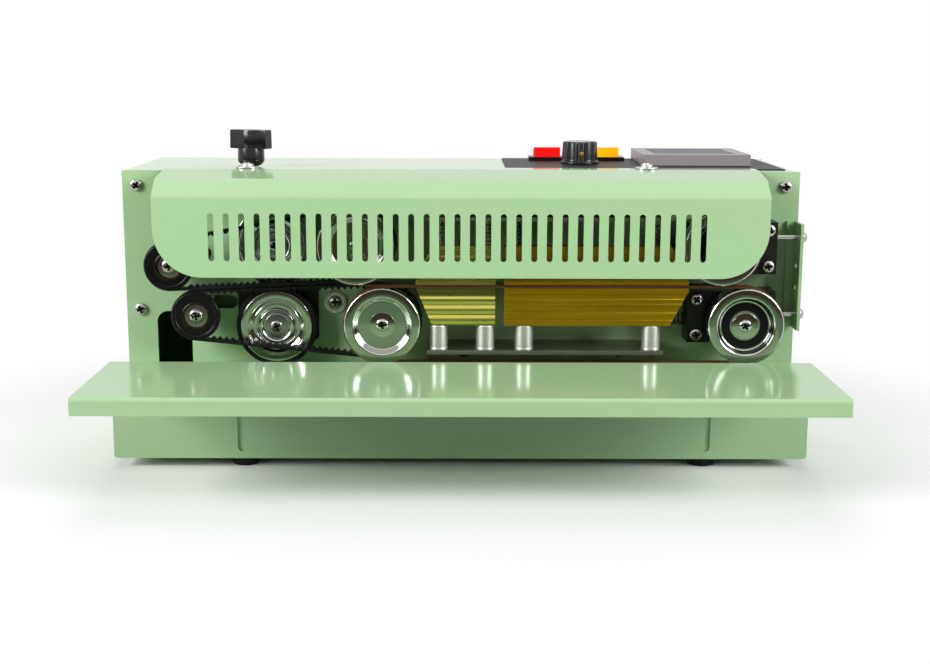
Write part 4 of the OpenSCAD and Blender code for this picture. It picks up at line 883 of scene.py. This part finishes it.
@dataclass
class Bodywork:
    """Folded green sheet parts, feet and the hidden drive behind them."""

    shop: Workshop
    sheets: dict[str, str] = field(default_factory=lambda: {
        "base_tray": "frame", "front_plate": "frame", "housing": "frame", "rear_cover": "frame",
        "belt_guard": "frame", "work_table": "table", "tension_bracket": "frame"})
    edge: float = 0.45

    def build(self) -> None:
        """Builds the sheet parts and gives the inner parts their finish."""
        for node, body in self.sheets.items():
            self.shop.softened(node, "mint_paint", body, self.edge)
        self.shop.softened("rubber_feet", "black_rubber", "frame", 0.6)
        self.shop.softened("power_gland", "black_moulding", "frame", 0.5)
        inner = {"gear_motor": "motor_case", "motor_pinion": "plain_steel", "lower_drive_gear": "plain_steel",
                 "upper_drive_gear": "plain_steel", "lower_press_gear": "plain_steel",
                 "upper_press_gear": "plain_steel", "lower_belt_pulley": "black_moulding",
                 "upper_belt_pulley": "black_moulding", "press_slide_block": "black_block",
                 "shaft_bearings": "black_block"}
        for node, finish in inner.items():
            self.shop.coat(node, finish)


@dataclass
class SealingWheels:
    """The four bright wheels of the sealing bands, their shafts and the bands."""

    shop: Workshop
    low_z: float = 112.4
    high_z: float = 175.2
    drive_x: float = -62.6
    tail_x: float = 226.0
    shift: float = 20.3017
    wheel_r: float = 30.3
    back_y: float = -31.5
    width: float = 18.5
    dish: float = 6.0
    band_r: float = 30.6
    band_t: float = 0.5
    band_y: tuple[float, float] = (-47.5, -32.5)
    drive_bore: float = 5.02
    tail_bore: float = 5.05
    drive_back: float = 48.0
    tail_back: float = -4.0
    drive_washer: tuple[float, float] = (10.0, 0.3)
    tail_washer: tuple[float, float] = (10.5, 1.5)
    head_h: float = 2.7

    def axes(self) -> list[tuple[str, float, float, float]]:
        """Lists the two levels of wheels.

        Returns:
            Prefix, drive wheel X, tail wheel X and height of each level.
        """
        return [("lower", self.drive_x, self.tail_x, self.low_z),
                ("upper", self.drive_x - self.shift, self.tail_x - self.shift, self.high_z)]

    def wheel(self, name: str, x: float, z: float, body: str, bore: float) -> None:
        """Builds one wheel with a bright rim and a dished face.

        Args:
            name: Node that the wheel stands for.
            x: Place of its axis.
            z: Height of its axis.
            body: Body that it rides on.
            bore: Radius of its bore.
        """
        front, floor = self.width, self.width - self.dish
        profile = [(bore, 0.0), (self.wheel_r - 0.6, 0.0), (self.wheel_r, 0.6), (self.wheel_r, front - 0.9),
                   (self.wheel_r - 0.9, front), (23.4, front), (22.5, front - 0.5), (20.2, floor + 0.4),
                   (19.5, floor), (bore, floor)]
        self.shop.lathed(f"{name}_bright", [(profile, seat(x, self.back_y, z, Facing.FRONT))], "bright_chrome", body,
                         (name,), 0.35, 128, 40.0)

    def shield(self, level: str, x: float, z: float) -> None:
        """Builds the black ring in the dish of a tail wheel.

        Args:
            level: Prefix of the wheel's level.
            x: Place of the axis.
            z: Height of the axis.
        """
        floor = self.width - self.dish
        profile = tube(12.0, 18.7, floor - 0.3, floor + 0.45)
        self.shop.lathed(f"{level}_tail_shield", [(profile, seat(x, self.back_y, z, Facing.FRONT))],
                         "black_moulding", f"{level}_tail", ease=0.15)

    def band(self, level: str, x0: float, x1: float, z: float) -> None:
        """Builds one sealing band round its two wheels.

        Args:
            level: Prefix of the level.
            x0: Axis of the drive wheel.
            x1: Axis of the tail wheel.
            z: Height of the axes.
        """
        steps = 48
        loop: list[tuple[float, float, float, float]] = []
        for x, start in ((x1, -90.0), (x0, 90.0)):
            for step in range(steps + 1):
                angle = math.radians(start + 180.0 * step / steps)
                loop.append((x, z, math.cos(angle), math.sin(angle)))
        corners = [(self.band_r, self.band_y[0]), (self.band_r + self.band_t, self.band_y[0]),
                   (self.band_r + self.band_t, self.band_y[1]), (self.band_r, self.band_y[1])]
        work = bmesh.new()
        rows = [[work.verts.new(place(x + c * r, y, h + s * r)) for r, y in corners] for x, h, c, s in loop]
        for here, there in zip(rows, rows[1:] + rows[:1]):
            for side in range(4):
                following = (side + 1) % 4
                work.faces.new((here[side], there[side], there[following], here[following]))
        name = f"{level}_seal_band"
        self.shop.piece(f"{name}_loop", self.shop.closed(name, work), "brown_band", "frame", (name,), 40.0)

    def build(self) -> None:
        """Builds all wheels, shafts and bands."""
        face = self.back_y - self.width + self.dish
        for level, drive, tail, z in self.axes():
            self.wheel(f"{level}_drive_wheel", drive, z, f"{level}_drive", self.drive_bore)
            self.wheel(f"{level}_tail_wheel", tail, z, f"{level}_tail", self.tail_bore)
            self.shield(level, tail, z)
            self.shop.shaft(f"{level}_drive_shaft", drive, z, (self.drive_back, face), self.drive_washer,
                            self.head_h, "bright_chrome", f"{level}_drive", 8.0)
            self.shop.shaft(f"{level}_tail_axle", tail, z, (self.tail_back, face - 0.2), self.tail_washer,
                            self.head_h, "bright_chrome", f"{level}_tension", 30.0)
            self.band(level, drive, tail, z)


@dataclass
class PressAndGuide:
    """Press wheels, guide belts and their idlers on the left."""

    shop: Workshop
    press_x: float = -150.0
    press_z: tuple[float, float] = (106.0, 172.0)
    idlers: tuple[tuple[float, float], tuple[float, float]] = ((-213.0, 116.6), (-233.5, 156.9004))
    press_back: float = -4.0
    press_w: float = 14.0
    hub_r: float = 29.05
    press_r: float = 32.85
    shaft_span: tuple[float, float] = (59.0, -16.0)
    idler_back: float = -19.0
    axle_rise: float = 6.6
    bolt_y: float = 9.0
    pin_y: float = -1.5
    pin_head_y: float = -30.2
    press_washer: tuple[float, float] = (10.0, 0.8)
    press_head_h: float = 2.6

    def press_wheel(self, level: str, z: float) -> None:
        """Builds a stepped bright disc, its tyre and its shaft.

        Args:
            level: Prefix of the level.
            z: Height of the axis.
        """
        at = seat(self.press_x, self.press_back, z, Facing.FRONT)
        body, w = f"{level}_press", self.press_w
        disc = [(5.02, 0.0), (self.hub_r, 0.0), (self.hub_r, w - 0.7), (self.hub_r - 0.7, w), (23.4, w),
                (23.0, w - 0.9), (22.5, w - 0.9), (22.1, w - 0.35), (19.4, w - 2.0), (18.9, w - 1.5), (16.6, w - 1.5),
                (16.2, w - 2.4), (15.6, w - 2.4), (13.9, w - 0.35), (12.2, w - 0.2), (11.1, w - 0.9), (10.7, w - 2.0),
                (5.02, w - 2.0)]
        self.shop.lathed(f"{level}_press_disc", [(disc, at)], "bright_chrome", body, (f"{level}_press_wheel",), 0.3,
                         128, 40.0)
        tyre = [(self.hub_r + 0.02, 0.0), (self.press_r - 0.8, 0.0), (self.press_r, 0.8), (self.press_r, w - 1.8),
                (self.press_r - 0.8, w - 1.0), (self.hub_r + 0.02, w - 1.0)]
        finish = "black_rubber" if level == "lower" else "bright_chrome"
        self.shop.lathed(f"{level}_press_ring", [(tyre, at)], finish, body, (f"{level}_press_tyre",), 0.5, 128)
        self.shop.shaft(f"{level}_press_shaft", self.press_x, z, self.shaft_span, self.press_washer,
                        self.press_head_h, "turned_steel", body, 20.0)

    def idler(self, level: str, x: float, z: float) -> None:
        """Builds a black idler with a raised rim and a bearing in its recess.

        Args:
            level: Prefix of the level.
            x: Place of the axis.
            z: Height of the axis.
        """
        at, body = seat(x, self.idler_back, z, Facing.FRONT), f"{level}_idler"
        disc = [(4.05, 0.0), (18.2, 0.0), (18.2, 11.0), (19.6, 11.2), (19.6, 12.7), (18.8, 13.5), (16.4, 13.5),
                (15.9, 12.9), (11.2, 12.9), (10.6, 13.3), (10.0, 13.3), (9.5, 10.0), (4.05, 10.0)]
        self.shop.lathed(f"{level}_idler_disc", [(disc, at)], "black_moulding", body, (f"{level}_guide_idler",))
        for part, finish, rings in (
                ("bearing", "turned_steel", [(5.7, 6.5, 11.0), (7.0, 8.5, 10.8)]),
                ("rim", "bearing_brass", [(8.75, 9.45, 11.3)])):
            turnings = [(tube(inner, outer, 9.8, top), at) for inner, outer, top in rings]
            self.shop.lathed(f"{level}_idler_{part}", turnings, finish, body, ease=0.25)

    def axles(self) -> None:
        """Builds the fixed axles of both idlers with their screws."""
        work = bmesh.new()
        rise = self.axle_rise
        bolt = [(0.0, 0.0), (9.0, 0.0), (9.0, 6.0), (4.0, 6.0), (4.0, 9.5), (0.0, 9.5)]
        pin = [(0.0, 0.0), (6.0, 0.0), (6.0, 17.3), (4.0, 17.3), (4.0, 27.7), (5.6, 27.7), (5.6, 28.8), (0.0, 28.8)]
        for x, z in self.idlers:
            self.shop.turned(work, bolt, seat(x, self.bolt_y, z + rise, Facing.FRONT), 0.25, 64)
            self.shop.oblong(work, seat(x, 0.0, z + rise / 2, Facing.FRONT), rise / 2, 8.0, 2.0)
            self.shop.turned(work, pin, seat(x, self.pin_y, z, Facing.FRONT), 0.25, 64)
            self.shop.cross_head(work, seat(x, self.pin_head_y, z, Facing.FRONT, 12.0), 5.3, 2.4)
        self.shop.piece("idler_axles_turned", self.shop.closed("axles", work), "screw_zinc", "frame",
                        ("idler_axles",), 40.0)

    def build(self) -> None:
        """Builds the press wheels, idlers and belts."""
        for level, z in zip(("lower", "upper"), self.press_z):
            self.press_wheel(level, z)
        for level, (x, z) in zip(("lower", "upper"), self.idlers):
            self.idler(level, x, z)
            self.shop.softened(f"{level}_guide_belt", "black_rubber", "frame", 0.0)
        self.axles()


@dataclass
class SealingBlocks:
    """Heating and cooling blocks, their posts, rails and springs."""

    shop: Workshop
    posts: tuple[float, ...] = (-18.0, 19.3, 50.3, 151.7)
    post_y: float = -39.0
    rail_low: float = 92.2
    rail_high: float = 195.4
    block_top: float = 175.4
    cool_x: tuple[float, float] = (-36.0, 27.0)
    cool_y: tuple[float, float] = (-46.5, -31.5)
    cool_top: float = 142.7
    cool_slant: float = 13.0
    ridges: tuple[float, ...] = (6.5, 14.3, 22.2, 30.5)
    ridge_depth: float = 1.3
    ridge_rim: float = 0.5
    ridge_steps: int = 10
    ridge_power: float = 0.7
    # Strength of the painted shade on the strip above the first ridge.
    painted_strip_shade: float = 0.6

    def supports(self) -> None:
        """Builds the rails and posts, and the screws under the lower rail."""
        self.shop.softened("block_supports", "rail_aluminium", "frame", 0.3)
        sleeve = [(0.0, 0.03), (7.45, 0.03), (7.45, 1.3), (7.25, 1.7), (7.25, 19.2), (6.9, 19.9), (0.0, 19.9)]
        turnings = [(sleeve, seat(x, self.post_y, self.rail_low, Facing.UP)) for x in self.posts]
        self.shop.lathed("post_sleeves", turnings, "post_aluminium", "frame", (), 0.2, 48)
        work = bmesh.new()
        for x in self.posts:
            self.shop.cross_head(work, seat(x, self.post_y, self.rail_low - 3.4, Facing.DOWN), 4.6, 2.2, 40, 8)
        self.shop.piece("rail_screw_heads", self.shop.closed("heads", work), "bearing_brass", "frame")

    def blocks(self) -> None:
        """Builds three blocks with softened edges and the ridged one."""
        for node, finish, body in (("lower_heat_block", "heat_gold", "frame"),
                                   ("upper_heat_block", "heat_gold", "heat_block"),
                                   ("upper_cool_block", "cool_gold", "cool_block")):
            self.shop.softened(node, finish, body, 0.25)
        self.ridged()

    def ridged(self) -> None:
        """Builds the lower cooling block with rounded ridges along its front, and painted shade on the strip above
        them.
        """
        front, rear = self.cool_y
        outline = [(rear, 0.0), (front, 0.0), (front, self.ridges[0] - self.ridge_rim)]
        for start, end in zip(self.ridges, self.ridges[1:]):
            for step in range(self.ridge_steps + 1):
                share = step / self.ridge_steps
                bulge = math.sin(math.pi * share) ** self.ridge_power
                outline.append((front + self.ridge_depth * (1 - bulge), start + (end - start) * share))
        outline.append((rear, self.ridges[-1]))
        work = bmesh.new()
        dark = work.verts.layers.float.new(PAINTED_SHADE_MASK)
        rows = []
        for y, down in outline:
            left = self.cool_x[0] + self.cool_slant * down / self.ridges[-1]
            rows.append([work.verts.new(place(x, y, self.cool_top - down)) for x in (left, self.cool_x[1])])
            for vert in rows[-1]:
                # Painted shade on the strip above the first ridge, through the mask attribute.
                vert[dark] = self.painted_strip_shade if down < self.ridges[0] else 0.0
        for here, there in zip(rows, rows[1:] + rows[:1]):
            if (here[0].co - there[0].co).length > TINY:
                work.faces.new((here[0], here[1], there[1], there[0]))
        for side in (0, 1):
            work.faces.new([row[side] for row in rows])
        bmesh.ops.remove_doubles(work, verts=work.verts, dist=TINY)
        self.shop.piece("lower_cool_ridges", self.shop.closed("ridges", work), "cool_gold", "frame",
                        ("lower_cool_block",), 40.0)

    def springs(self) -> None:
        """Builds the springs of the blocks, the tension blocks and the pressure knob."""
        up = [seat(x, self.post_y, self.block_top, Facing.UP) for x in self.posts]
        for name, seats, joint in (("cool_springs", up[:2], "cool_block_float"),
                                   ("heat_springs", up[2:], "heat_block_float")):
            coil = self.shop.spring(name, seats, 5.0, 1.2, 6, 20.0, "frame", ("coil_springs",))
            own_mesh(coil)
        for level, x, z in (("lower", 162.0, 112.4), ("upper", 156.7, 175.2)):
            coil = self.shop.spring(f"{level}_tension_spring", [seat(x, -12.0, z, Facing.RIGHT)], 4.5, 1.2, 6, 21.0,
                                    "frame", ("coil_springs",))
            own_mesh(coil)
        coil = self.shop.spring("press_spring", [seat(-174.0, 29.0, 188.0, Facing.UP)], 6.0, 1.6, 5, 22.0, "frame",
                                ("pressure_spring",))
        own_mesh(coil)

    def build(self) -> None:
        """Builds the whole sub-assembly."""
        self.supports()
        self.blocks()
        self.springs()


@dataclass
class Tension:
    """Black tension blocks and the screws that pull them."""

    shop: Workshop

    def build(self) -> None:
        """Builds the blocks and their screws with softened edges."""
        for level in ("lower", "upper"):
            self.shop.softened(f"{level}_tension_block", "black_block", f"{level}_tension", 0.5)
            self.shop.softened(f"{level}_tension_screw", "screw_zinc", f"{level}_screw", 0.25)


@dataclass
class Fasteners:
    """Cross-head screws on the plates and washer screws on the guard and the table."""

    shop: Workshop
    head_r: float = 5.0
    head_h: float = 3.3
    washer_r: float = 9.5
    washer_t: float = 1.6
    shank_low: float = -7.0
    plate_x: float = 263.5
    plate_z: tuple[float, float] = (117.0, 219.0)
    rear_y: float = 151.5
    tension_at: tuple[tuple[float, float], ...] = ((190.0, 115.9), (246.5, 171.7))
    tension_y: float = -24.4
    tension_half: float = 14.5
    rail_x: tuple[float, float] = (2.0, 131.7)
    rail_y: float = -3.4
    rail_z: tuple[float, float] = (83.2, 204.4)
    guard_x: tuple[float, float] = (-174.0, 151.0)
    guard_at: tuple[float, float] = (6.0, 232.5)
    table_x: tuple[float, float] = (-173.0, 194.0)
    table_at: tuple[float, float] = (-64.2, 53.75)
    single_at: tuple[float, float, float] = (-103.469, 0.0, 123.554)

    def screw(self) -> bpy.types.Mesh:
        """Builds one pan-head screw.

        Returns:
            Its mesh in metres about its own Z axis, with the head's base at 0.
        """
        work = bmesh.new()
        small = Matrix.Scale(MM, 4)
        self.shop.cross_head(work, small, self.head_r, self.head_h)
        self.shop.turned(work, tube(0.0, 2.5, self.shank_low, 0.3), small, 0.1, 24)
        return self.shop.closed("pan_screw", work)

    def washer_screw(self) -> bpy.types.Mesh:
        """Builds one screw with a broad washer.

        Returns:
            Its mesh in metres about its own Z axis, with the washer's base at 0.
        """
        work = bmesh.new()
        small = Matrix.Scale(MM, 4)
        top, floor = self.washer_t, self.washer_t - 0.5
        self.shop.turned(work, [(3.0, self.shank_low), (3.0, 0.0), (self.washer_r, 0.0), (self.washer_r, top),
                                (5.6, top), (5.3, floor), (3.0, floor), (0.0, floor)], small, 0.35, 64)
        raised = Matrix.Translation((0.0, 0.0, floor * MM)) @ small
        self.shop.cross_head(work, raised, self.head_r, self.head_h + 0.4)
        return self.shop.closed("washer_screw", work)

    def build(self) -> None:
        """Sets all screws in their places."""
        side, (low, high) = self.plate_x, self.plate_z
        front = [(-side, 0.0, low, 20.0), (-side, 0.0, high, 55.0), (side, 0.0, high, 10.0)]
        for (x, z), twists in zip(self.tension_at, ((10.0, 50.0), (15.0, 65.0))):
            heights = (z - self.tension_half, z + self.tension_half)
            front += [(x, self.tension_y, height, twist) for height, twist in zip(heights, twists)]
        front += [(x, self.rail_y, z, 0.2 * x) for x in self.rail_x for z in self.rail_z]
        seats = [seat(x, y, z, Facing.FRONT, twist) for x, y, z, twist in front]
        seats += [seat(x, self.rear_y, z, Facing.BACK, 15.0) for x in (-side, side) for z in self.plate_z]
        self.shop.scattered("plate_screws", self.screw(), seats, "screw_zinc", "frame", ("panel_screws",))
        seats = [seat(x, *self.guard_at, Facing.UP, 25.0) for x in self.guard_x]
        seats += [seat(x, *self.table_at, Facing.FRONT, 10.0) for x in self.table_x]
        seats.append(seat(*self.single_at, Facing.FRONT))
        self.shop.scattered("broad_screws", self.washer_screw(), seats, "washer_zinc", "frame", ("washer_screws",))


@dataclass
class Controls:
    """Control panel with its switches, speed knob and controller, and the pressure knob."""

    shop: Workshop
    panel_top: float = 231.8
    knob_at: tuple[float, float] = (102.5, 80.0)
    knob_r: float = 16.5
    knob_top_r: float = 15.4
    knob_h: float = 19.0
    flutes: int = 12
    flute_low: float = 3.4
    flute_depth: float = 1.6
    dial_at: tuple[float, float] = (200.0, 99.5)
    window_w: float = 69.0
    bezel_h: float = 9.5
    pressure_at: tuple[float, float] = (-174.0, 29.0)
    wing_turn: float = -25.0

    def _fluted(self, radius: float, along: float, angle: float) -> float:
        """Cuts the flutes into the speed knob's wall.

        Args:
            radius: Radius of the plain knob.
            along: Height over the knob's foot.
            angle: Angle about the knob's axis.

        Returns:
            The radius with the flutes cut in.
        """
        if along < self.flute_low or radius < self.knob_top_r - 2.2:
            return radius
        wave = 0.5 + 0.5 * math.cos(self.flutes * angle)
        return radius - self.flute_depth * wave ** 4

    def speed_knob(self) -> None:
        """Builds the fluted knob with its skirt, cap and set screw."""
        x, y = self.knob_at
        r, top_r, h = self.knob_r, self.knob_top_r, self.knob_h
        at = seat(x, y, self.panel_top, Facing.UP, -15.0)
        work = bmesh.new()
        profile = [(0.0, 0.2), (r, 0.2), (r, 1.7), (top_r + 0.3, 2.6), (top_r, 3.6), (top_r - 0.7, h - 0.9),
                   (top_r - 1.6, h), (10.4, h), (10.0, h - 0.8), (0.0, h - 0.8)]
        self.shop.turned(work, profile, at, 0.5, 144, self._fluted)
        self.shop.turned(work, tube(0.0, 3.0, -14.0, 0.4), at, 0.1, 32)
        self.shop.piece("speed_knob_body", self.shop.closed("knob", work), "gloss_black", "speed_knob",
                        ("speed_knob",))
        self.shop.lathed("speed_knob_cap", [(tube(0.0, 9.8, h - 0.9, h - 0.2), at)], "turned_steel", "speed_knob",
                         segments=64)
        hole = seat(x + 0.4, y - top_r + 1.2, self.panel_top + 9.0, Facing.FRONT)
        self.shop.lathed("speed_knob_set_screw", [(tube(0.0, 1.9, 0.0, 1.2), hole)], "bearing_brass", "speed_knob",
                         ease=0.2, segments=24)

    def pressure_knob(self) -> None:
        """Builds the wing knob on its neck and screw."""
        x, y = self.pressure_at
        at = seat(x, y, 0.0, Facing.UP)
        work = bmesh.new()
        neck = [(0.0, 208.0), (4.0, 208.0), (4.0, 210.0), (7.6, 210.0), (7.6, 212.0), (4.0, 212.0), (4.0, 233.0),
                (7.6, 233.0), (10.6, 236.0), (11.0, 237.5), (10.8, 247.6), (0.0, 247.6)]
        self.shop.turned(work, neck, at, 0.6, 64)
        half, thick, low, high = 17.4, 6.0, 247.0, 262.4
        outline = []
        for side in (1, -1):
            outline += [(side * half, -side * (thick - 1.4)), (side * half, side * (thick - 1.4)),
                        (side * 8.0, side * thick), (side * 3.0, side * (thick + 2.2)),
                        (-side * 3.0, side * (thick + 2.2)), (-side * 8.0, side * thick)]
        turn = at @ Matrix.Rotation(math.radians(self.wing_turn), 4, "Z")
        rings = []
        for level, shrink in ((low, 0.965), (low + 0.7, 1.0), (high - 1.0, 0.985), (high, 0.94)):
            rings.append([work.verts.new(turn @ Vector((px * shrink, py * shrink, level))) for px, py in outline])
        count = len(outline)
        for lower, upper in zip(rings, rings[1:]):
            for step in range(count):
                following = (step + 1) % count
                work.faces.new((lower[step], lower[following], upper[following], upper[step]))
        work.faces.new(rings[0][::-1])
        work.faces.new(rings[-1])
        mesh = self.shop.closed("wing", work)
        self.shop.piece("pressure_wing", mesh, "gloss_black", "pressure_knob", ("pressure_knob",), 28.0)

    def controller(self) -> None:
        """Builds the controller's bezel and its dark window."""
        self.shop.softened("temperature_controller", "bezel_grey", "frame", 0.8, 3)
        x, y = self.dial_at
        half = self.window_w / 2 - 0.2
        top = self.panel_top + self.bezel_h
        work = bmesh.new()
        self.shop.block(work, place(x - half, y - half, top - 1.1), place(x + half, y + half, top - 0.35))
        self.shop.piece("controller_window", self.shop.closed("window", work), "dark_window", "frame")

    def build(self) -> None:
        """Builds the controls."""
        self.shop.softened("control_panel", "panel_black", "frame", 0.2)
        self.shop.softened("switch_frames", "black_moulding", "frame", 0.4)
        self.shop.softened("heat_rocker", "clear_red", "heat_switch", 0.6, 3)
        self.shop.softened("motor_rocker", "clear_amber", "motor_switch", 0.6, 3)
        self.speed_knob()
        self.pressure_knob()
        self.controller()


@dataclass(frozen=True)
class Lamp:
    """A soft square lamp, with its place and size in metres and its power in watts."""

    name: str
    at: tuple[float, float, float]
    size: float
    power: float
    mirrored: bool = True

    def hang(self, aim: Vector) -> None:
        """Hangs the lamp.

        Args:
            aim: Point that it faces.
        """
        data = bpy.data.lights.new(self.name, "AREA")
        data.shape = "SQUARE"
        data.size = self.size
        data.energy = self.power
        obj = bpy.data.objects.new(self.name, data)
        ray = aim - Vector(self.at)
        obj.matrix_world = Matrix.Translation(self.at) @ ray.to_track_quat("-Z", "Y").to_matrix().to_4x4()
        obj.visible_glossy = self.mirrored
        bpy.context.scene.collection.objects.link(obj)


@dataclass
class Studio:
    """Floor, dark card, lamps, sky and camera of the photograph, in metres and radians."""

    eye: Vector = field(default_factory=lambda: Vector((-0.00505, -1.1406, 0.3196)))
    lens: float = 54.98
    pitch: float = 0.1894
    yaw: float = 0.00538
    roll: float = 0.00347
    floor_pale: Colour = (0.95, 0.95, 0.95)
    floor_bounce: Colour = (0.46, 0.46, 0.46)
    floor_fade: tuple[float, float] = (0.28, 0.6)
    flag_low: Colour = (0.14, 0.235, 0.125)
    flag_high: Colour = (0.06, 0.045, 0.03)
    flag_blend: tuple[float, float] = (0.05, 0.068)
    flag_y: float = -0.42
    flag_width: float = 2.4
    flag_height: float = 0.22
    flag_foot: float = 0.005
    even_light: float = 0.04
    aim: Vector = field(default_factory=lambda: Vector((0.0, -0.05, 0.1)))
    lamps: tuple[Lamp, ...] = (
        Lamp("left_lamp", (-1.7, -1.0, 0.95), 1.0, 45.0),
        Lamp("right_lamp", (1.7, -1.0, 0.95), 1.0, 40.0),
        Lamp("top_lamp", (0.0, 0.4, 2.2), 1.6, 7.5),
        Lamp("rear_lamp", (0.0, 1.7, 1.6), 0.8, 13.0, False),
    )

    def camera(self) -> None:
        """Sets the camera where the photograph was taken from."""
        ahead = Vector((math.sin(self.yaw) * math.cos(self.pitch), math.cos(self.yaw) * math.cos(self.pitch),
                        -math.sin(self.pitch)))
        right = Vector((math.cos(self.yaw), -math.sin(self.yaw), 0.0))
        down = ahead.cross(right)
        c, s = math.cos(self.roll), math.sin(self.roll)
        right, down = c * right - s * down, s * right + c * down
        data = bpy.data.cameras.new("photo_camera")
        data.lens = self.lens
        data.sensor_width = 36.0
        data.sensor_fit = "HORIZONTAL"
        data.clip_start = 0.01
        obj = bpy.data.objects.new("photo_camera", data)
        turn = Matrix((right, -down, -ahead)).transposed().to_4x4()
        obj.matrix_world = Matrix.Translation(self.eye) @ turn
        bpy.context.scene.collection.objects.link(obj)
        bpy.context.scene.camera = obj

    @staticmethod
    def _sheet(name: str, size: float) -> bpy.types.Object:
        """Lays a flat square about the origin.

        Args:
            name: Name of the sheet.
            size: Half its side in metres.

        Returns:
            The new object.
        """
        work = bmesh.new()
        bmesh.ops.create_grid(work, x_segments=1, y_segments=1, size=size)
        mesh = bpy.data.meshes.new(name)
        work.to_mesh(mesh)
        work.free()
        obj = bpy.data.objects.new(name, mesh)
        bpy.context.scene.collection.objects.link(obj)
        return obj

    @staticmethod
    def _shown(net: Wiring) -> None:
        """Adds a node named shown, whose value is 1 for camera, glossy and transmission rays.

        Args:
            net: Wiring of the tree that needs it.
        """
        net.add("path", "ShaderNodeLightPath")
        net.add("seen_or_mirrored", "ShaderNodeMath", operation="MAXIMUM")
        net.add("shown", "ShaderNodeMath", operation="MAXIMUM")
        net.join("path.Is Camera Ray > seen_or_mirrored.0", "path.Is Glossy Ray > seen_or_mirrored.1",
                 "seen_or_mirrored.0 > shown.0", "path.Is Transmission Ray > shown.1")

    def floor(self) -> None:
        """Lays a pale floor that turns into the white of the background away from the object."""
        pale = bpy.data.materials.new("pale_floor")
        pale.use_nodes = True
        net = Wiring(pale.node_tree)
        self._shown(net)
        near = pale.node_tree.nodes[SKIN]
        near.inputs["Roughness"].default_value = 0.9
        near.inputs["Specular IOR Level"].default_value = 0.1
        net.add("tone", "ShaderNodeMix", {"A": (*self.floor_bounce, 1.0), "B": (*self.floor_pale, 1.0)},
                data_type="RGBA")
        net.add("far", "ShaderNodeEmission")
        net.add("coords", "ShaderNodeTexCoord")
        net.add("reach", "ShaderNodeVectorMath", operation="LENGTH")
        net.add("fade", "ShaderNodeMapRange", {"From Min": self.floor_fade[0], "From Max": self.floor_fade[1]},
                interpolation_type="SMOOTHSTEP")
        net.add("glow", "ShaderNodeMath", operation="MULTIPLY")
        net.add("mix", "ShaderNodeMixShader")
        net.join("shown.0 > tone.Factor", f"tone.Result > {SKIN}.Base Color", "coords.Object > reach.0",
                 "reach.Value > fade.Value", "fade.Result > glow.0", "shown.0 > glow.1", "glow.0 > mix.0",
                 f"{SKIN}.0 > mix.1", "far.0 > mix.2", "mix.0 > Material Output.Surface")
        self._sheet("floor", 6.0).data.materials.append(pale)

    def flag(self) -> None:
        """Stands a dark card low in front of the object, which only bright metal mirrors."""
        dark = bpy.data.materials.new("dark_card")
        dark.use_nodes = True
        dark.node_tree.nodes.remove(dark.node_tree.nodes[SKIN])
        net = Wiring(dark.node_tree)
        net.add("shade", "ShaderNodeEmission")
        net.add("coords", "ShaderNodeTexCoord")
        net.add("axes", "ShaderNodeSeparateXYZ")
        net.add("climb", "ShaderNodeMapRange", {"From Min": self.flag_blend[0], "From Max": self.flag_blend[1]})
        net.add("tone", "ShaderNodeMix", {"A": (*self.flag_low, 1.0), "B": (*self.flag_high, 1.0)},
                data_type="RGBA")
        net.join("coords.Object > axes.Vector", "axes.Z > climb.Value", "climb.Result > tone.Factor",
                 "tone.Result > shade.Color", "shade.0 > Material Output.Surface")
        card = self._sheet("flag", 0.5)
        card.data.transform(Matrix.Diagonal((self.flag_width, self.flag_height, 1.0, 1.0)))
        card.data.transform(Matrix.Rotation(math.radians(90.0), 4, "X"))
        card.data.transform(Matrix.Translation((0.0, self.flag_y, self.flag_foot + self.flag_height / 2)))
        card.data.materials.append(dark)
        card.visible_camera = False
        card.visible_diffuse = False
        card.visible_shadow = False
        card.visible_transmission = False

    def sky(self) -> None:
        """Gives a white background, also to bright metal, and a weaker even light."""
        world = bpy.data.worlds.new("studio_sky")
        world.use_nodes = True
        world.node_tree.nodes.clear()
        net = Wiring(world.node_tree)
        self._shown(net)
        net.add("out", "ShaderNodeOutputWorld")
        net.add("seen", "ShaderNodeBackground", {"Color": (1.0, 1.0, 1.0, 1.0)})
        net.add("light", "ShaderNodeBackground", {"Color": (0.97, 0.98, 1.0, 1.0), "Strength": self.even_light})
        net.add("mix", "ShaderNodeMixShader")
        net.join("shown.0 > mix.0", "light.0 > mix.1", "seen.0 > mix.2", "mix.0 > out.Surface")
        bpy.context.scene.world = world

    def build(self) -> None:
        """Builds the whole studio."""
        self.camera()
        self.floor()
        self.flag()
        self.sky()
        for lamp in self.lamps:
            lamp.hang(self.aim)
        bpy.context.scene.view_settings.view_transform = "Standard"


def main() -> None:
    """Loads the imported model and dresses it."""
    logging.basicConfig(level=logging.INFO, format="%(message)s")
    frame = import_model()
    shop = Workshop(frame, Paintbox(FINISHES))
    for part in (Bodywork(shop), SealingWheels(shop), PressAndGuide(shop), SealingBlocks(shop), Tension(shop),
                 Fasteners(shop), Controls(shop)):
        LOG.info("sub-assembly %s", type(part).__name__)
        part.build()
    Studio().build()


if __name__ == "__main__":
    main()
